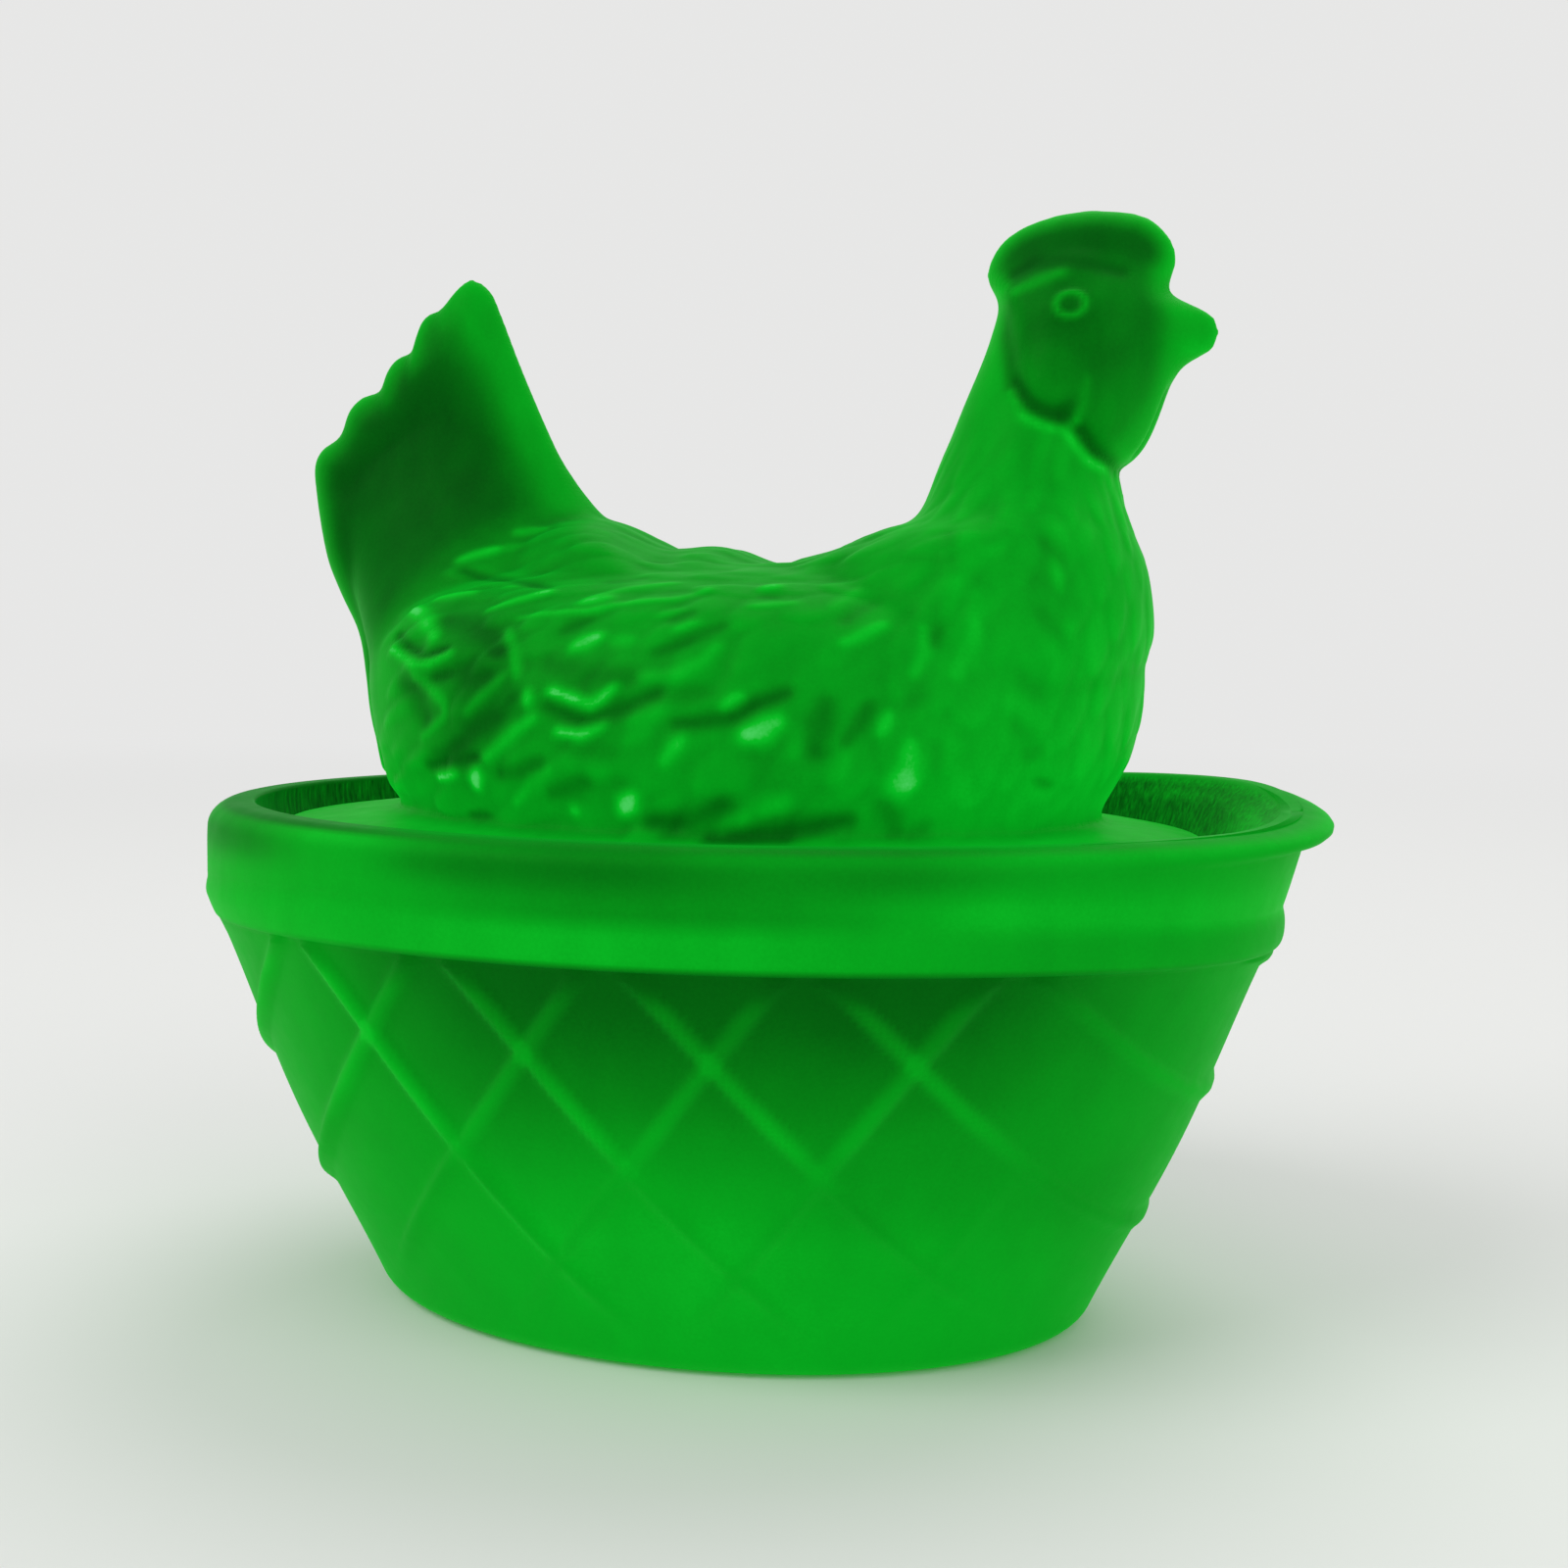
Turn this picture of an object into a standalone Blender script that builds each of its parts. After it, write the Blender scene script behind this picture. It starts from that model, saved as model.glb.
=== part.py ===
"""Covered glass dish: an oval lattice basket with a hen-shaped lid that lifts off.

Metres, +Z up. The hen faces +X and the dish stands on the plane Z = 0.
"""
import math

import bmesh
import bpy
from mathutils import Matrix, Vector

# Basket, outside
FOOT_LENGTH = 0.0416
FOOT_WIDTH = 0.0304
FOOT_ROUND = 0.0016
WALL_HEIGHT = 0.0224        # from the table to the underside of the plain band
WALL_DRAFT = 0.412          # outward run for each unit of rise
BAND_HEIGHT = 0.0027
BAND_PROUD = 0.0006
COLLAR_HEIGHT = 0.0031      # from the top of the band to the top of the rim
COLLAR_TUCK = 0.0001        # how far the collar sits in behind the band
BAND_SQUARENESS = 0.5       # 1 gives the band an elliptical section, less a squarer one
RIM_THICKNESS = 0.0024
HEAD_LIP = 0.0022           # extra flare of the rim at the head end
HEAD_LIP_RISE = 0.0007      # how much higher the rim stands at the head end
HEAD_LIP_FOCUS = 3          # a larger value gathers the flare into a shorter arc
HEAD_LIP_CURL = 3           # a larger value keeps the flare to the top of the collar

# Basket, inside
WALL_THICKNESS = 0.0032
FLOOR_THICKNESS = 0.0040
FLOOR_ROUND = 0.0040
LEDGE_DEPTH = 0.0033        # the lid's seat, below the top of the rim
LEDGE_WIDTH = 0.0024
SEAT_TAPER = 0.0009         # how far the rim's inner face leans in, down to the ledge

# Lattice of crossing ribs, laid out flat as it is seen from the side
DIAMOND_WIDTH = 0.0091
DIAMOND_HEIGHT = 0.0116
LATTICE_SHIFT = 0.0008      # the pattern's centre, toward the head end
RIB_WIDTH = 0.0014
RIB_HEIGHT = 0.00045
RIB_STEP = 0.00004          # one way of ribs lies this much under the other
RIB_START_Z = 0.0020
RIB_RUNOUT = 0.0030         # height over which a rib fades into the foot

# Lid flange
SEAT_GAP = 0.0002
FLANGE_CLEARANCE = 0.0005
FLANGE_THICKNESS = 0.0018
FLANGE_DOME = 0.0006
LID_WALL = 0.0030           # glass left between the hollow and the body's side
HOLLOW_HEIGHT = 0.0122
HOLLOW_TURN = 75            # degrees of the curve that rounds the hollow over
HOLLOW_SQUARENESS = 0.6

# Hen, with heights measured from the flange's top
BODY_LENGTH = 0.0444
BODY_SHIFT = 0.0007         # the body's middle, toward the head end
BODY_WIDTH = 0.0330
BODY_HEIGHT = 0.0146
BACK_WIDTH = 0.0200
HEAD_HEIGHT = 0.0288        # height of the brow, which the head is placed from
HEAD_SETBACK = 0.0045       # brow, back from the breast
TAIL_ROOT_THICKNESS = 0.0088
TAIL_THICKNESS = 0.0052     # where the tail leaves the back
TAIL_TIP_THICKNESS = 0.0030
TAIL_SCALLOPS = 4
SCALLOP_DEPTH = 0.0010
SCALLOP_ROUNDING = 0.8

# Body sections: share of the height, of the length and of the width
BODY_SECTIONS = (
    (-0.10, 0.88, 0.93),
    (0.00, 0.89, 0.94),
    (0.30, 0.98, 1.00),
    (0.60, 1.00, 0.96),
    (0.80, 0.96, 0.83),
    (0.93, 0.86, 0.60),
    (1.00, 0.66, 0.30),
)
# Neck sections: height, setback of nape and throat from the breast, width
NECK_SECTIONS = (
    (0.0030, 0.0210, 0.0029, 0.0240),
    (0.0070, 0.0210, 0.0009, 0.0240),
    (0.0105, 0.0204, -0.0002, 0.0236),
    (0.0140, 0.0190, -0.0001, 0.0208),
    (0.0160, 0.0152, 0.0006, 0.0182),
    (0.0172, 0.0124, 0.0011, 0.0150),
    (0.0196, 0.0114, 0.0017, 0.0112),
    (0.0231, 0.0101, 0.0014, 0.0088),
    (0.0261, 0.0089, -0.0002, 0.0082),
    (0.0288, 0.0081, 0.0000, 0.0074),
    (0.0306, 0.0075, 0.0008, 0.0060),
    (0.0316, 0.0062, 0.0028, 0.0034),
)
BROW_SECTION = 9
# Rump sections: height, rear and front forward of the body's rear end, width
RUMP_SECTIONS = (
    (0.0016, 0.0013, 0.0235, 0.0230),
    (0.0051, 0.0007, 0.0235, 0.0250),
    (0.0081, 0.0003, 0.0215, 0.0230),
    (0.0111, -0.0008, 0.0185, 0.0178),
    (0.0141, -0.0021, 0.0165, 0.0122),
    (0.0166, -0.0031, 0.0143, 0.0084),
    (0.0191, -0.0037, 0.0121, 0.0056),
    (0.0221, -0.0021, 0.0101, 0.0040),
    (0.0251, 0.0007, 0.0087, 0.0032),
)
# Back outline: forward of the body's middle, and height
BACK_OUTLINE = (
    (-0.0182, 0.0096),
    (-0.0152, 0.0141),
    (-0.0122, 0.0167),
    (-0.0088, 0.0173),
    (-0.0041, 0.0155),
    (-0.0014, 0.0157),
    (0.0021, 0.0147),
    (0.0058, 0.0156),
    (0.0096, 0.0168),
    (0.0123, 0.0151),
    (0.0123, 0.0091),
    (-0.0107, 0.0071),
)
BACK_CENTRE = (0.0003, 0.0101)
BACK_SHOULDER = 0.95        # share of the way to the centre that is rounded over
# Head outline: forward of the brow, and above it; comb, beak and wattle in turn, then up the lobe
HEAD_OUTLINE = (
    (-0.0039, 0.0006),
    (-0.0043, 0.0016),
    (-0.0035, 0.0031),
    (-0.0013, 0.0042),
    (0.0011, 0.0047),
    (0.0036, 0.0042),
    (0.0052, 0.0031),
    (0.0055, 0.0018),
    (0.0050, 0.0003),
    (0.0065, -0.0005),
    (0.0076, -0.0017),
    (0.0067, -0.0031),
    (0.0055, -0.0040),
    (0.0049, -0.0060),
    (0.0038, -0.0081),
    (0.0022, -0.0091),
    (0.0008, -0.0075),
    (-0.0006, -0.0070),
    (-0.0022, -0.0059),
    (-0.0032, -0.0030),
    (-0.0034, -0.0003),
)
HEAD_CENTRE = (0.0006, -0.0022)
HEAD_SHOULDER = 0.4
# Head widths: above the brow, width
HEAD_WIDTHS = (
    (-0.0092, 0.0084),
    (-0.0067, 0.0104),
    (-0.0047, 0.0102),
    (-0.0027, 0.0096),
    (0.0003, 0.0088),
    (0.0023, 0.0072),
    (0.0047, 0.0056),
)
BEAK_START = 0.0036         # forward of the brow
BEAK_LENGTH = 0.0040
BEAK_TIP_SHARE = 0.3        # of the width at its start
EYE_PLACE = (0.0005, 0.0043, -0.0008)
EYE_HALF_SIZES = (0.0010, 0.0008, 0.0009)
# Tail outline: forward of the body's rear end, and height
TAIL_FRONT = (
    (0.0203, 0.0120),
    (0.0158, 0.0160),
    (0.0132, 0.0173),
    (0.0122, 0.0184),
    (0.0103, 0.0215),
    (0.0083, 0.0258),
    (0.0069, 0.0292),
)
TAIL_TIP = (0.0053, 0.0312)
TAIL_SCALLOPS_START = (0.0045, 0.0297)
TAIL_SCALLOPS_END = (-0.0034, 0.0209)
TAIL_REAR = (
    (-0.0041, 0.0190),
    (-0.0031, 0.0147),
    (-0.0017, 0.0103),
    (-0.0013, 0.0075),
    (-0.0008, 0.0043),
    (0.0009, 0.0010),
)
TAIL_ROOT = (0.0095, 0.0010)
TAIL_CENTRE = (0.0023, 0.0186)
TAIL_SHOULDER = 0.42

# Fineness of the facets
RING_POINTS = 60
ARC_STEPS = 5
HEN_GRID = 0.00055
HEN_SMOOTHING = 5
HEN_SMOOTH_SHARE = 0.5
HEN_FACE_SHARE = 0.125
SECTION_STEPS = 4           # rings between two of the hen's sections
COLLAR_ROWS = (0.4, 0.75)   # shares of the collar's height

BAND_TOP_Z = WALL_HEIGHT + BAND_HEIGHT
RIM_TOP_Z = BAND_TOP_Z + COLLAR_HEIGHT
LEDGE_Z = RIM_TOP_Z - LEDGE_DEPTH
WALL_OUT = WALL_DRAFT * WALL_HEIGHT
RIM_OUT = WALL_OUT + BAND_PROUD - COLLAR_TUCK
RIM_IN = RIM_OUT - RIM_THICKNESS
SEAT_IN = RIM_IN - SEAT_TAPER
LIP_RADIUS = RIM_THICKNESS / 2
FLANGE_BOTTOM_Z = LEDGE_Z + SEAT_GAP
FLANGE_TOP_Z = FLANGE_BOTTOM_Z + FLANGE_THICKNESS
BREAST_X = BODY_SHIFT + BODY_LENGTH / 2
RUMP_X = BODY_SHIFT - BODY_LENGTH / 2
BROW = Vector((BREAST_X - HEAD_SETBACK, 0.0, FLANGE_TOP_Z + HEAD_HEIGHT))


def clear_scene():
    for existing in list(bpy.data.objects):
        bpy.data.objects.remove(existing, do_unlink=True)


def glass(name, colour):
    material = bpy.data.materials.new(name)
    material.use_nodes = True
    shader = material.node_tree.nodes["Principled BSDF"]
    shader.inputs["Base Color"].default_value = (*colour, 1.0)
    shader.inputs["Roughness"].default_value = 0.4
    shader.inputs["Metallic"].default_value = 0.0
    shader.inputs["Transmission Weight"].default_value = 0.4
    return material


def add_object(name, mesh_data, material=None):
    """Turn a bmesh into a named object in the scene."""
    bmesh.ops.recalc_face_normals(mesh_data, faces=mesh_data.faces)
    bmesh.ops.triangulate(mesh_data, faces=mesh_data.faces)
    mesh = bpy.data.meshes.new(name)
    mesh_data.to_mesh(mesh)
    mesh_data.free()
    mesh.shade_smooth()
    mesh.set_sharp_from_angle(angle=math.radians(40))
    made = bpy.data.objects.new(name, mesh)
    bpy.context.scene.collection.objects.link(made)
    if material:
        mesh.materials.append(material)
    return made


def add_guide(name, mesh_data):
    """A solid that only shapes another one."""
    guide = add_object(name, mesh_data)
    guide.hide_render = True
    guide.display_type = "WIRE"
    return guide


def combine(target, tool, operation):
    change = target.modifiers.new(tool.name, "BOOLEAN")
    change.operation = operation
    change.solver = "EXACT"
    change.object = tool


def oval(half_length, half_width, z, centre_x=0.0, phase=0.0):
    turns = (2 * math.pi * (i + phase) / RING_POINTS for i in range(RING_POINTS))
    return [Vector((centre_x + half_length * math.cos(t), half_width * math.sin(t), z)) for t in turns]


def skin(mesh_data, rings, closed_tube=False):
    """Join a stack of equal rings, capping the ends unless the stack closes on itself."""
    loops = [[mesh_data.verts.new(point) for point in ring] for ring in rings]
    pairs = list(zip(loops, loops[1:]))
    if closed_tube:
        pairs.append((loops[-1], loops[0]))
    for lower, upper in pairs:
        for i in range(len(lower)):
            j = (i + 1) % len(lower)
            mesh_data.faces.new((lower[i], lower[j], upper[j], upper[i]))
    if not closed_tube:
        mesh_data.faces.new(reversed(loops[0]))
        mesh_data.faces.new(loops[-1])


def arc(centre, radius, start, end):
    """Points along a circular arc in the plane of offset and height."""
    angles = (start + (end - start) * i / ARC_STEPS for i in range(ARC_STEPS + 1))
    return [(centre[0] + radius * math.cos(a), centre[1] + radius * math.sin(a)) for a in angles]


def basket_ring(offset, z):
    """The foot's oval grown by an offset, with the rim's flare at the head end."""
    rise = min(1.0, max(0.0, (z - LEDGE_Z) / (LEDGE_DEPTH - LIP_RADIUS)))
    ring = oval(FOOT_LENGTH / 2 + offset, FOOT_WIDTH / 2 + offset, z)
    for i, point in enumerate(ring):
        toward_head = max(0.0, math.cos(2 * math.pi * i / RING_POINTS))
        flare = rise ** HEAD_LIP_CURL * toward_head ** HEAD_LIP_FOCUS
        point += Vector((HEAD_LIP * flare, 0.0, HEAD_LIP_RISE * flare))
    return ring


def basket_profile():
    """Offsets and heights from the middle of the foot, up the outside and down into the bowl."""
    draft_angle = math.atan(WALL_DRAFT)
    foot_turn = math.pi / 2 - draft_angle
    foot_run = FOOT_ROUND * math.tan(foot_turn / 2)
    foot = arc((-foot_run, FOOT_ROUND), FOOT_ROUND, -math.pi / 2, -draft_angle)
    band_half = BAND_HEIGHT / 2
    band_turns = (math.pi * (i / ARC_STEPS - 0.5) for i in range(ARC_STEPS + 1))
    band = [
        (WALL_OUT + BAND_PROUD * math.cos(a) ** BAND_SQUARENESS if i < ARC_STEPS else RIM_OUT,
         WALL_HEIGHT + band_half * (1 + math.sin(a)))
        for i, a in enumerate(band_turns)
    ]
    lip_z = RIM_TOP_Z - LIP_RADIUS
    collar = [(RIM_OUT, BAND_TOP_Z + (lip_z - BAND_TOP_Z) * share) for share in COLLAR_ROWS]
    rim = arc((RIM_OUT - LIP_RADIUS, lip_z), LIP_RADIUS, 0.0, math.pi)
    ledge_in = SEAT_IN - LEDGE_WIDTH
    floor_out = WALL_DRAFT * FLOOR_THICKNESS - WALL_THICKNESS
    lean = math.atan2(ledge_in - floor_out, LEDGE_Z - FLOOR_THICKNESS)
    floor_run = FLOOR_ROUND * math.tan((math.pi / 2 - lean) / 2)
    floor_centre = (floor_out - floor_run, FLOOR_THICKNESS + FLOOR_ROUND)
    bowl = arc(floor_centre, FLOOR_ROUND, -lean, -math.pi / 2)
    return foot + band + collar + rim + [(SEAT_IN, LEDGE_Z), (ledge_in, LEDGE_Z)] + bowl


def rib_skin(name, proud):
    """A thin wall that stands proud of the basket's side and dips under the foot and the band."""
    def at(z, offset):
        return oval(FOOT_LENGTH / 2 + offset, FOOT_WIDTH / 2 + offset, z, phase=0.5)

    depth = WALL_THICKNESS / 2
    band_z = WALL_HEIGHT + BAND_HEIGHT / 2
    full_z = RIB_START_Z + RIB_RUNOUT
    mesh_data = bmesh.new()
    skin(mesh_data, [
        at(RIB_START_Z, WALL_DRAFT * RIB_START_Z - depth / 4),
        at(full_z, WALL_DRAFT * full_z + proud),
        at(WALL_HEIGHT, WALL_OUT + proud),
        at(band_z, WALL_OUT - depth / 4),
        at(band_z, WALL_OUT - depth),
        at(RIB_START_Z, WALL_DRAFT * RIB_START_Z - depth),
    ], closed_tube=True)
    return add_guide(name, mesh_data)


def rib_bars(name, side):
    """Parallel bars through the basket; side is 1 or -1 for the way they lean."""
    run = side * DIAMOND_WIDTH / DIAMOND_HEIGHT
    middle_z = WALL_HEIGHT + BAND_HEIGHT / 2 - DIAMOND_HEIGHT
    reach = FOOT_WIDTH / 2 + WALL_OUT + BAND_HEIGHT
    half_span = FOOT_LENGTH / 2 + WALL_OUT + DIAMOND_WIDTH
    count = math.ceil(half_span / DIAMOND_WIDTH)
    size = Matrix.Diagonal((RIB_WIDTH, 2 * reach, 3 * WALL_HEIGHT, 1.0))
    turn = Matrix.Rotation(math.atan(run), 4, "Y")
    mesh_data = bmesh.new()
    for k in range(-count, count + 1):
        place = Matrix.Translation((LATTICE_SHIFT + k * DIAMOND_WIDTH, 0.0, middle_z))
        bmesh.ops.create_cube(mesh_data, size=1.0, matrix=place @ turn @ size)
    return add_guide(name, mesh_data)


def make_basket():
    mesh_data = bmesh.new()
    skin(mesh_data, [basket_ring(offset, z) for offset, z in basket_profile()])
    basket = add_object("basket_base", mesh_data, glass("basket_glass", (0.02, 0.46, 0.05)))
    for name, side, proud in (("rising", 1, RIB_HEIGHT), ("falling", -1, RIB_HEIGHT - RIB_STEP)):
        ribs = rib_bars(f"ribs_{name}", side)
        combine(ribs, rib_skin(f"skin_{name}", proud), "INTERSECT")
        combine(basket, ribs, "UNION")
    return basket


def smooth_path(points, steps):
    """A Catmull-Rom curve through rows of numbers."""
    rows = [points[0], *points, points[-1]]
    path = []
    for before, start, end, after in zip(rows, rows[1:], rows[2:], rows[3:]):
        for i in range(steps):
            t = i / steps
            path.append([
                0.5 * (2 * b + (c - a) * t + (2 * a - 5 * b + 4 * c - d) * t ** 2
                       + (3 * b - a - 3 * c + d) * t ** 3)
                for a, b, c, d in zip(before, start, end, after)
            ])
    return [*path, list(points[-1])]


def between(rows, value):
    """The second column of rows, read off at a value of the first."""
    if value <= rows[0][0]:
        return rows[0][1]
    for (low, at_low), (high, at_high) in zip(rows, rows[1:]):
        if value <= high:
            return at_low + (at_high - at_low) * (value - low) / (high - low)
    return rows[-1][1]


def cushion(mesh_data, origin, outline, centre, shoulder, half_width):
    """A shape given by its side view, rounded over from its edge toward its centre."""
    levels = []
    for i in range(ARC_STEPS + 1):
        turn = math.pi / 2 * i / ARC_STEPS
        levels.append((shoulder * (1 - math.cos(turn)), math.sin(turn)))
    levels.append(((1 + shoulder) / 2, 1.0))

    def ring(side, share, rise):
        points = []
        for forward, height in outline:
            forward += share * (centre[0] - forward)
            height += share * (centre[1] - height)
            half = rise * half_width(forward, height)
            points.append(origin + Vector((forward, side * half, height)))
        return points

    near = [ring(-1, *level) for level in reversed(levels)]
    far = [ring(1, *level) for level in levels[1:]]
    skin(mesh_data, near + far)


def add_body(mesh_data):
    """The rounded body, and the ridge of the back between neck and tail."""
    rings = []
    for height, length, width in smooth_path(BODY_SECTIONS, SECTION_STEPS):
        z = FLANGE_TOP_Z + height * BODY_HEIGHT
        rings.append(oval(length * BODY_LENGTH / 2, width * BODY_WIDTH / 2, z, BODY_SHIFT))
    skin(mesh_data, rings)
    outline = smooth_path(BACK_OUTLINE, SECTION_STEPS)
    middle = Vector((BODY_SHIFT, 0.0, FLANGE_TOP_Z))

    def half_width(forward, height):
        return BACK_WIDTH / 2

    cushion(mesh_data, middle, outline, BACK_CENTRE, BACK_SHOULDER, half_width)


def add_neck(mesh_data):
    stretch = HEAD_HEIGHT / NECK_SECTIONS[BROW_SECTION][0]
    rings = []
    for height, nape, throat, width in smooth_path(NECK_SECTIONS, SECTION_STEPS):
        middle = BREAST_X - (nape + throat) / 2
        rings.append(oval((nape - throat) / 2, width / 2, FLANGE_TOP_Z + height * stretch, middle))
    skin(mesh_data, rings)


def add_rump(mesh_data):
    """The swell that carries the body's sides up into the tail."""
    rings = []
    for height, rear, front, width in smooth_path(RUMP_SECTIONS, SECTION_STEPS):
        middle = RUMP_X + (front + rear) / 2
        rings.append(oval((front - rear) / 2, width / 2, FLANGE_TOP_Z + height, middle))
    skin(mesh_data, rings)


def tail_outline():
    """The fan's edge, with scalloped feather tips from the tip down to the heel."""
    start = Vector(TAIL_SCALLOPS_START)
    span = Vector(TAIL_SCALLOPS_END) - start
    outward = Vector((span.y, -span.x)).normalized()
    scallops = []
    for i in range(TAIL_SCALLOPS * ARC_STEPS + 1):
        share = i / (TAIL_SCALLOPS * ARC_STEPS)
        swell = abs(math.sin(math.pi * share * TAIL_SCALLOPS)) ** SCALLOP_ROUNDING
        scallops.append(tuple(start + share * span + SCALLOP_DEPTH * swell * outward))
    front = smooth_path([*TAIL_FRONT, TAIL_TIP], SECTION_STEPS)
    rear = smooth_path(TAIL_REAR, SECTION_STEPS)
    return [*front, *scallops, *rear, TAIL_ROOT]


def add_tail(mesh_data):
    """The fan: thick where it grows out of the body, thinner toward its tip."""
    thicknesses = (
        (0.0, TAIL_ROOT_THICKNESS),
        (BODY_HEIGHT, TAIL_THICKNESS),
        (TAIL_TIP[1], TAIL_TIP_THICKNESS),
    )

    def half_width(forward, height):
        return between(thicknesses, height) / 2

    rear = Vector((RUMP_X, 0.0, FLANGE_TOP_Z))
    cushion(mesh_data, rear, tail_outline(), TAIL_CENTRE, TAIL_SHOULDER, half_width)


def add_head(mesh_data):
    """Comb, beak, wattles and lobes as one mask over the neck's top, and the eyes."""
    def half_width(forward, height):
        along_beak = min(1.0, max(0.0, (forward - BEAK_START) / BEAK_LENGTH))
        return between(HEAD_WIDTHS, height) / 2 * (1 + (BEAK_TIP_SHARE - 1) * along_beak)

    outline = smooth_path(HEAD_OUTLINE, SECTION_STEPS)
    cushion(mesh_data, BROW, outline, HEAD_CENTRE, HEAD_SHOULDER, half_width)
    forward, aside, above = EYE_PLACE
    shape = Matrix.Diagonal((*EYE_HALF_SIZES, 1.0))
    for side in (-1, 1):
        place = Matrix.Translation(BROW + Vector((forward, side * aside, above)))
        bmesh.ops.create_uvsphere(mesh_data, u_segments=16, v_segments=10, radius=1.0, matrix=place @ shape)


def lid_flange():
    half_length = FOOT_LENGTH / 2 + SEAT_IN - FLANGE_CLEARANCE
    half_width = FOOT_WIDTH / 2 + SEAT_IN - FLANGE_CLEARANCE
    edge = FLANGE_THICKNESS / 3
    mesh_data = bmesh.new()
    rings = [
        oval(half_length - edge, half_width - edge, FLANGE_BOTTOM_Z),
        oval(half_length, half_width, FLANGE_BOTTOM_Z + edge),
        oval(half_length, half_width, FLANGE_TOP_Z - edge),
        oval(half_length - edge, half_width - edge, FLANGE_TOP_Z),
        oval(BODY_LENGTH / 2, BODY_WIDTH / 2, FLANGE_TOP_Z + FLANGE_DOME, BODY_SHIFT),
        oval(BODY_LENGTH / 4, BODY_WIDTH / 4, FLANGE_TOP_Z + FLANGE_DOME, BODY_SHIFT),
    ]
    skin(mesh_data, rings)
    return add_guide("lid_flange", mesh_data)


def lid_hollow():
    """The space under the hen, open below and rounded over at the top."""
    base_length, base_width = BODY_SECTIONS[1][1:]
    half_length = base_length * BODY_LENGTH / 2 - LID_WALL
    half_width = base_width * BODY_WIDTH / 2 - LID_WALL
    below = FLANGE_BOTTOM_Z - FLANGE_THICKNESS
    rings = [oval(half_length, half_width, below, BODY_SHIFT)]
    for i in range(ARC_STEPS + 1):
        angle = math.radians(HOLLOW_TURN) * i / ARC_STEPS
        shrink = math.cos(angle) ** HOLLOW_SQUARENESS
        z = FLANGE_TOP_Z + HOLLOW_HEIGHT * math.sin(angle) / math.sin(math.radians(HOLLOW_TURN))
        rings.append(oval(shrink * half_length, shrink * half_width, z, BODY_SHIFT))
    mesh_data = bmesh.new()
    skin(mesh_data, rings)
    return add_guide("lid_hollow", mesh_data)


def make_lid():
    mesh_data = bmesh.new()
    for add_part in (add_body, add_neck, add_rump, add_tail, add_head):
        add_part(mesh_data)
    lid = add_object("hen_lid", mesh_data, glass("hen_glass", (0.02, 0.50, 0.06)))
    blend = lid.modifiers.new("one_figure", "REMESH")
    blend.mode = "VOXEL"
    blend.voxel_size = HEN_GRID
    blend.use_smooth_shade = True
    soften = lid.modifiers.new("soft_joins", "SMOOTH")
    soften.factor = HEN_SMOOTH_SHARE
    soften.iterations = HEN_SMOOTHING
    thin_out = lid.modifiers.new("fewer_facets", "DECIMATE")
    thin_out.ratio = HEN_FACE_SHARE
    combine(lid, lid_flange(), "UNION")
    combine(lid, lid_hollow(), "DIFFERENCE")
    return lid


clear_scene()
make_basket()
make_lid()
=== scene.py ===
import math
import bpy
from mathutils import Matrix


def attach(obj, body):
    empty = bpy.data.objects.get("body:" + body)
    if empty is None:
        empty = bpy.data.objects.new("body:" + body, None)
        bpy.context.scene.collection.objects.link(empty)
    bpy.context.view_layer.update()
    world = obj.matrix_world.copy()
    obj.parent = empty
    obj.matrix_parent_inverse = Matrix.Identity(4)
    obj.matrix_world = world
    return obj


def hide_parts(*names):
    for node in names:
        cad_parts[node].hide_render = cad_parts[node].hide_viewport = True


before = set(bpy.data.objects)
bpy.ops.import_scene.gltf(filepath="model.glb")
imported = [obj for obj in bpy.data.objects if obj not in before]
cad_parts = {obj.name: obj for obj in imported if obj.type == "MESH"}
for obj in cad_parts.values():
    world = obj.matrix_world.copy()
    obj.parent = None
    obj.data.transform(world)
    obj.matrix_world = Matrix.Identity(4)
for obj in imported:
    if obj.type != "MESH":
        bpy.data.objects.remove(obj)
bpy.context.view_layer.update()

from types import SimpleNamespace

import bpy
import numpy as np
from mathutils import Matrix, Vector
from mathutils.kdtree import KDTree

# Lengths are in millimetres, in the CAD's frame: the hen faces +X and +Z is up.
# Those in the shaders and the studio are in metres.
MM = 0.001

# Sizes of the basket
FOOT_A, FOOT_B = 20.8, 15.2
FOOT_ROUND = 1.6
WALL_TOP, WALL_DRAFT, WALL_BELLY, FOOT_TUCK = 22.4, 0.412, 0.5, 0.4
BAND_HEIGHT, BAND_PROUD, COLLAR_HEIGHT, COLLAR_TUCK = 2.7, 0.6, 3.1, 0.1
RIM_THICKNESS = 2.4
RIM_ROUND, RIM_INNER_ROUND = 1.3, 0.3
HEAD_LIP_LEAN, HEAD_LIP_BEAD, HEAD_LIP_HALF, HEAD_LIP_FLARE = 1.0, 1.6, 0.65, 1.3
RIM_RISE, RIM_RISE_TURN, RIM_RISE_WIDTHS = 1.4, 25, (25, 42)
TAIL_RIM_LEAN, TAIL_RIM_LOW = 0.5, 26.2
BAND_DIP, BAND_DIP_TOP = 0.8, 1.4
WALL_THICKNESS, FLOOR_THICKNESS, FLOOR_ROUND = 3.2, 4.0, 4.0
LEDGE_DEPTH, LEDGE_WIDTH, SEAT_TAPER = 3.3, 2.4, 0.9
SEAT_EASE, LEDGE_EASE, CORNER_CUT = 0.25, 0.3, 0.08
DIAMOND_WIDTH, DIAMOND_HEIGHT, LATTICE_SHIFT = 9.1, 11.6, 0.8
RIB_WIDTH, RIB_HEIGHT, RIB_SHARPNESS = 1.35, 0.45, 1.6
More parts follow.
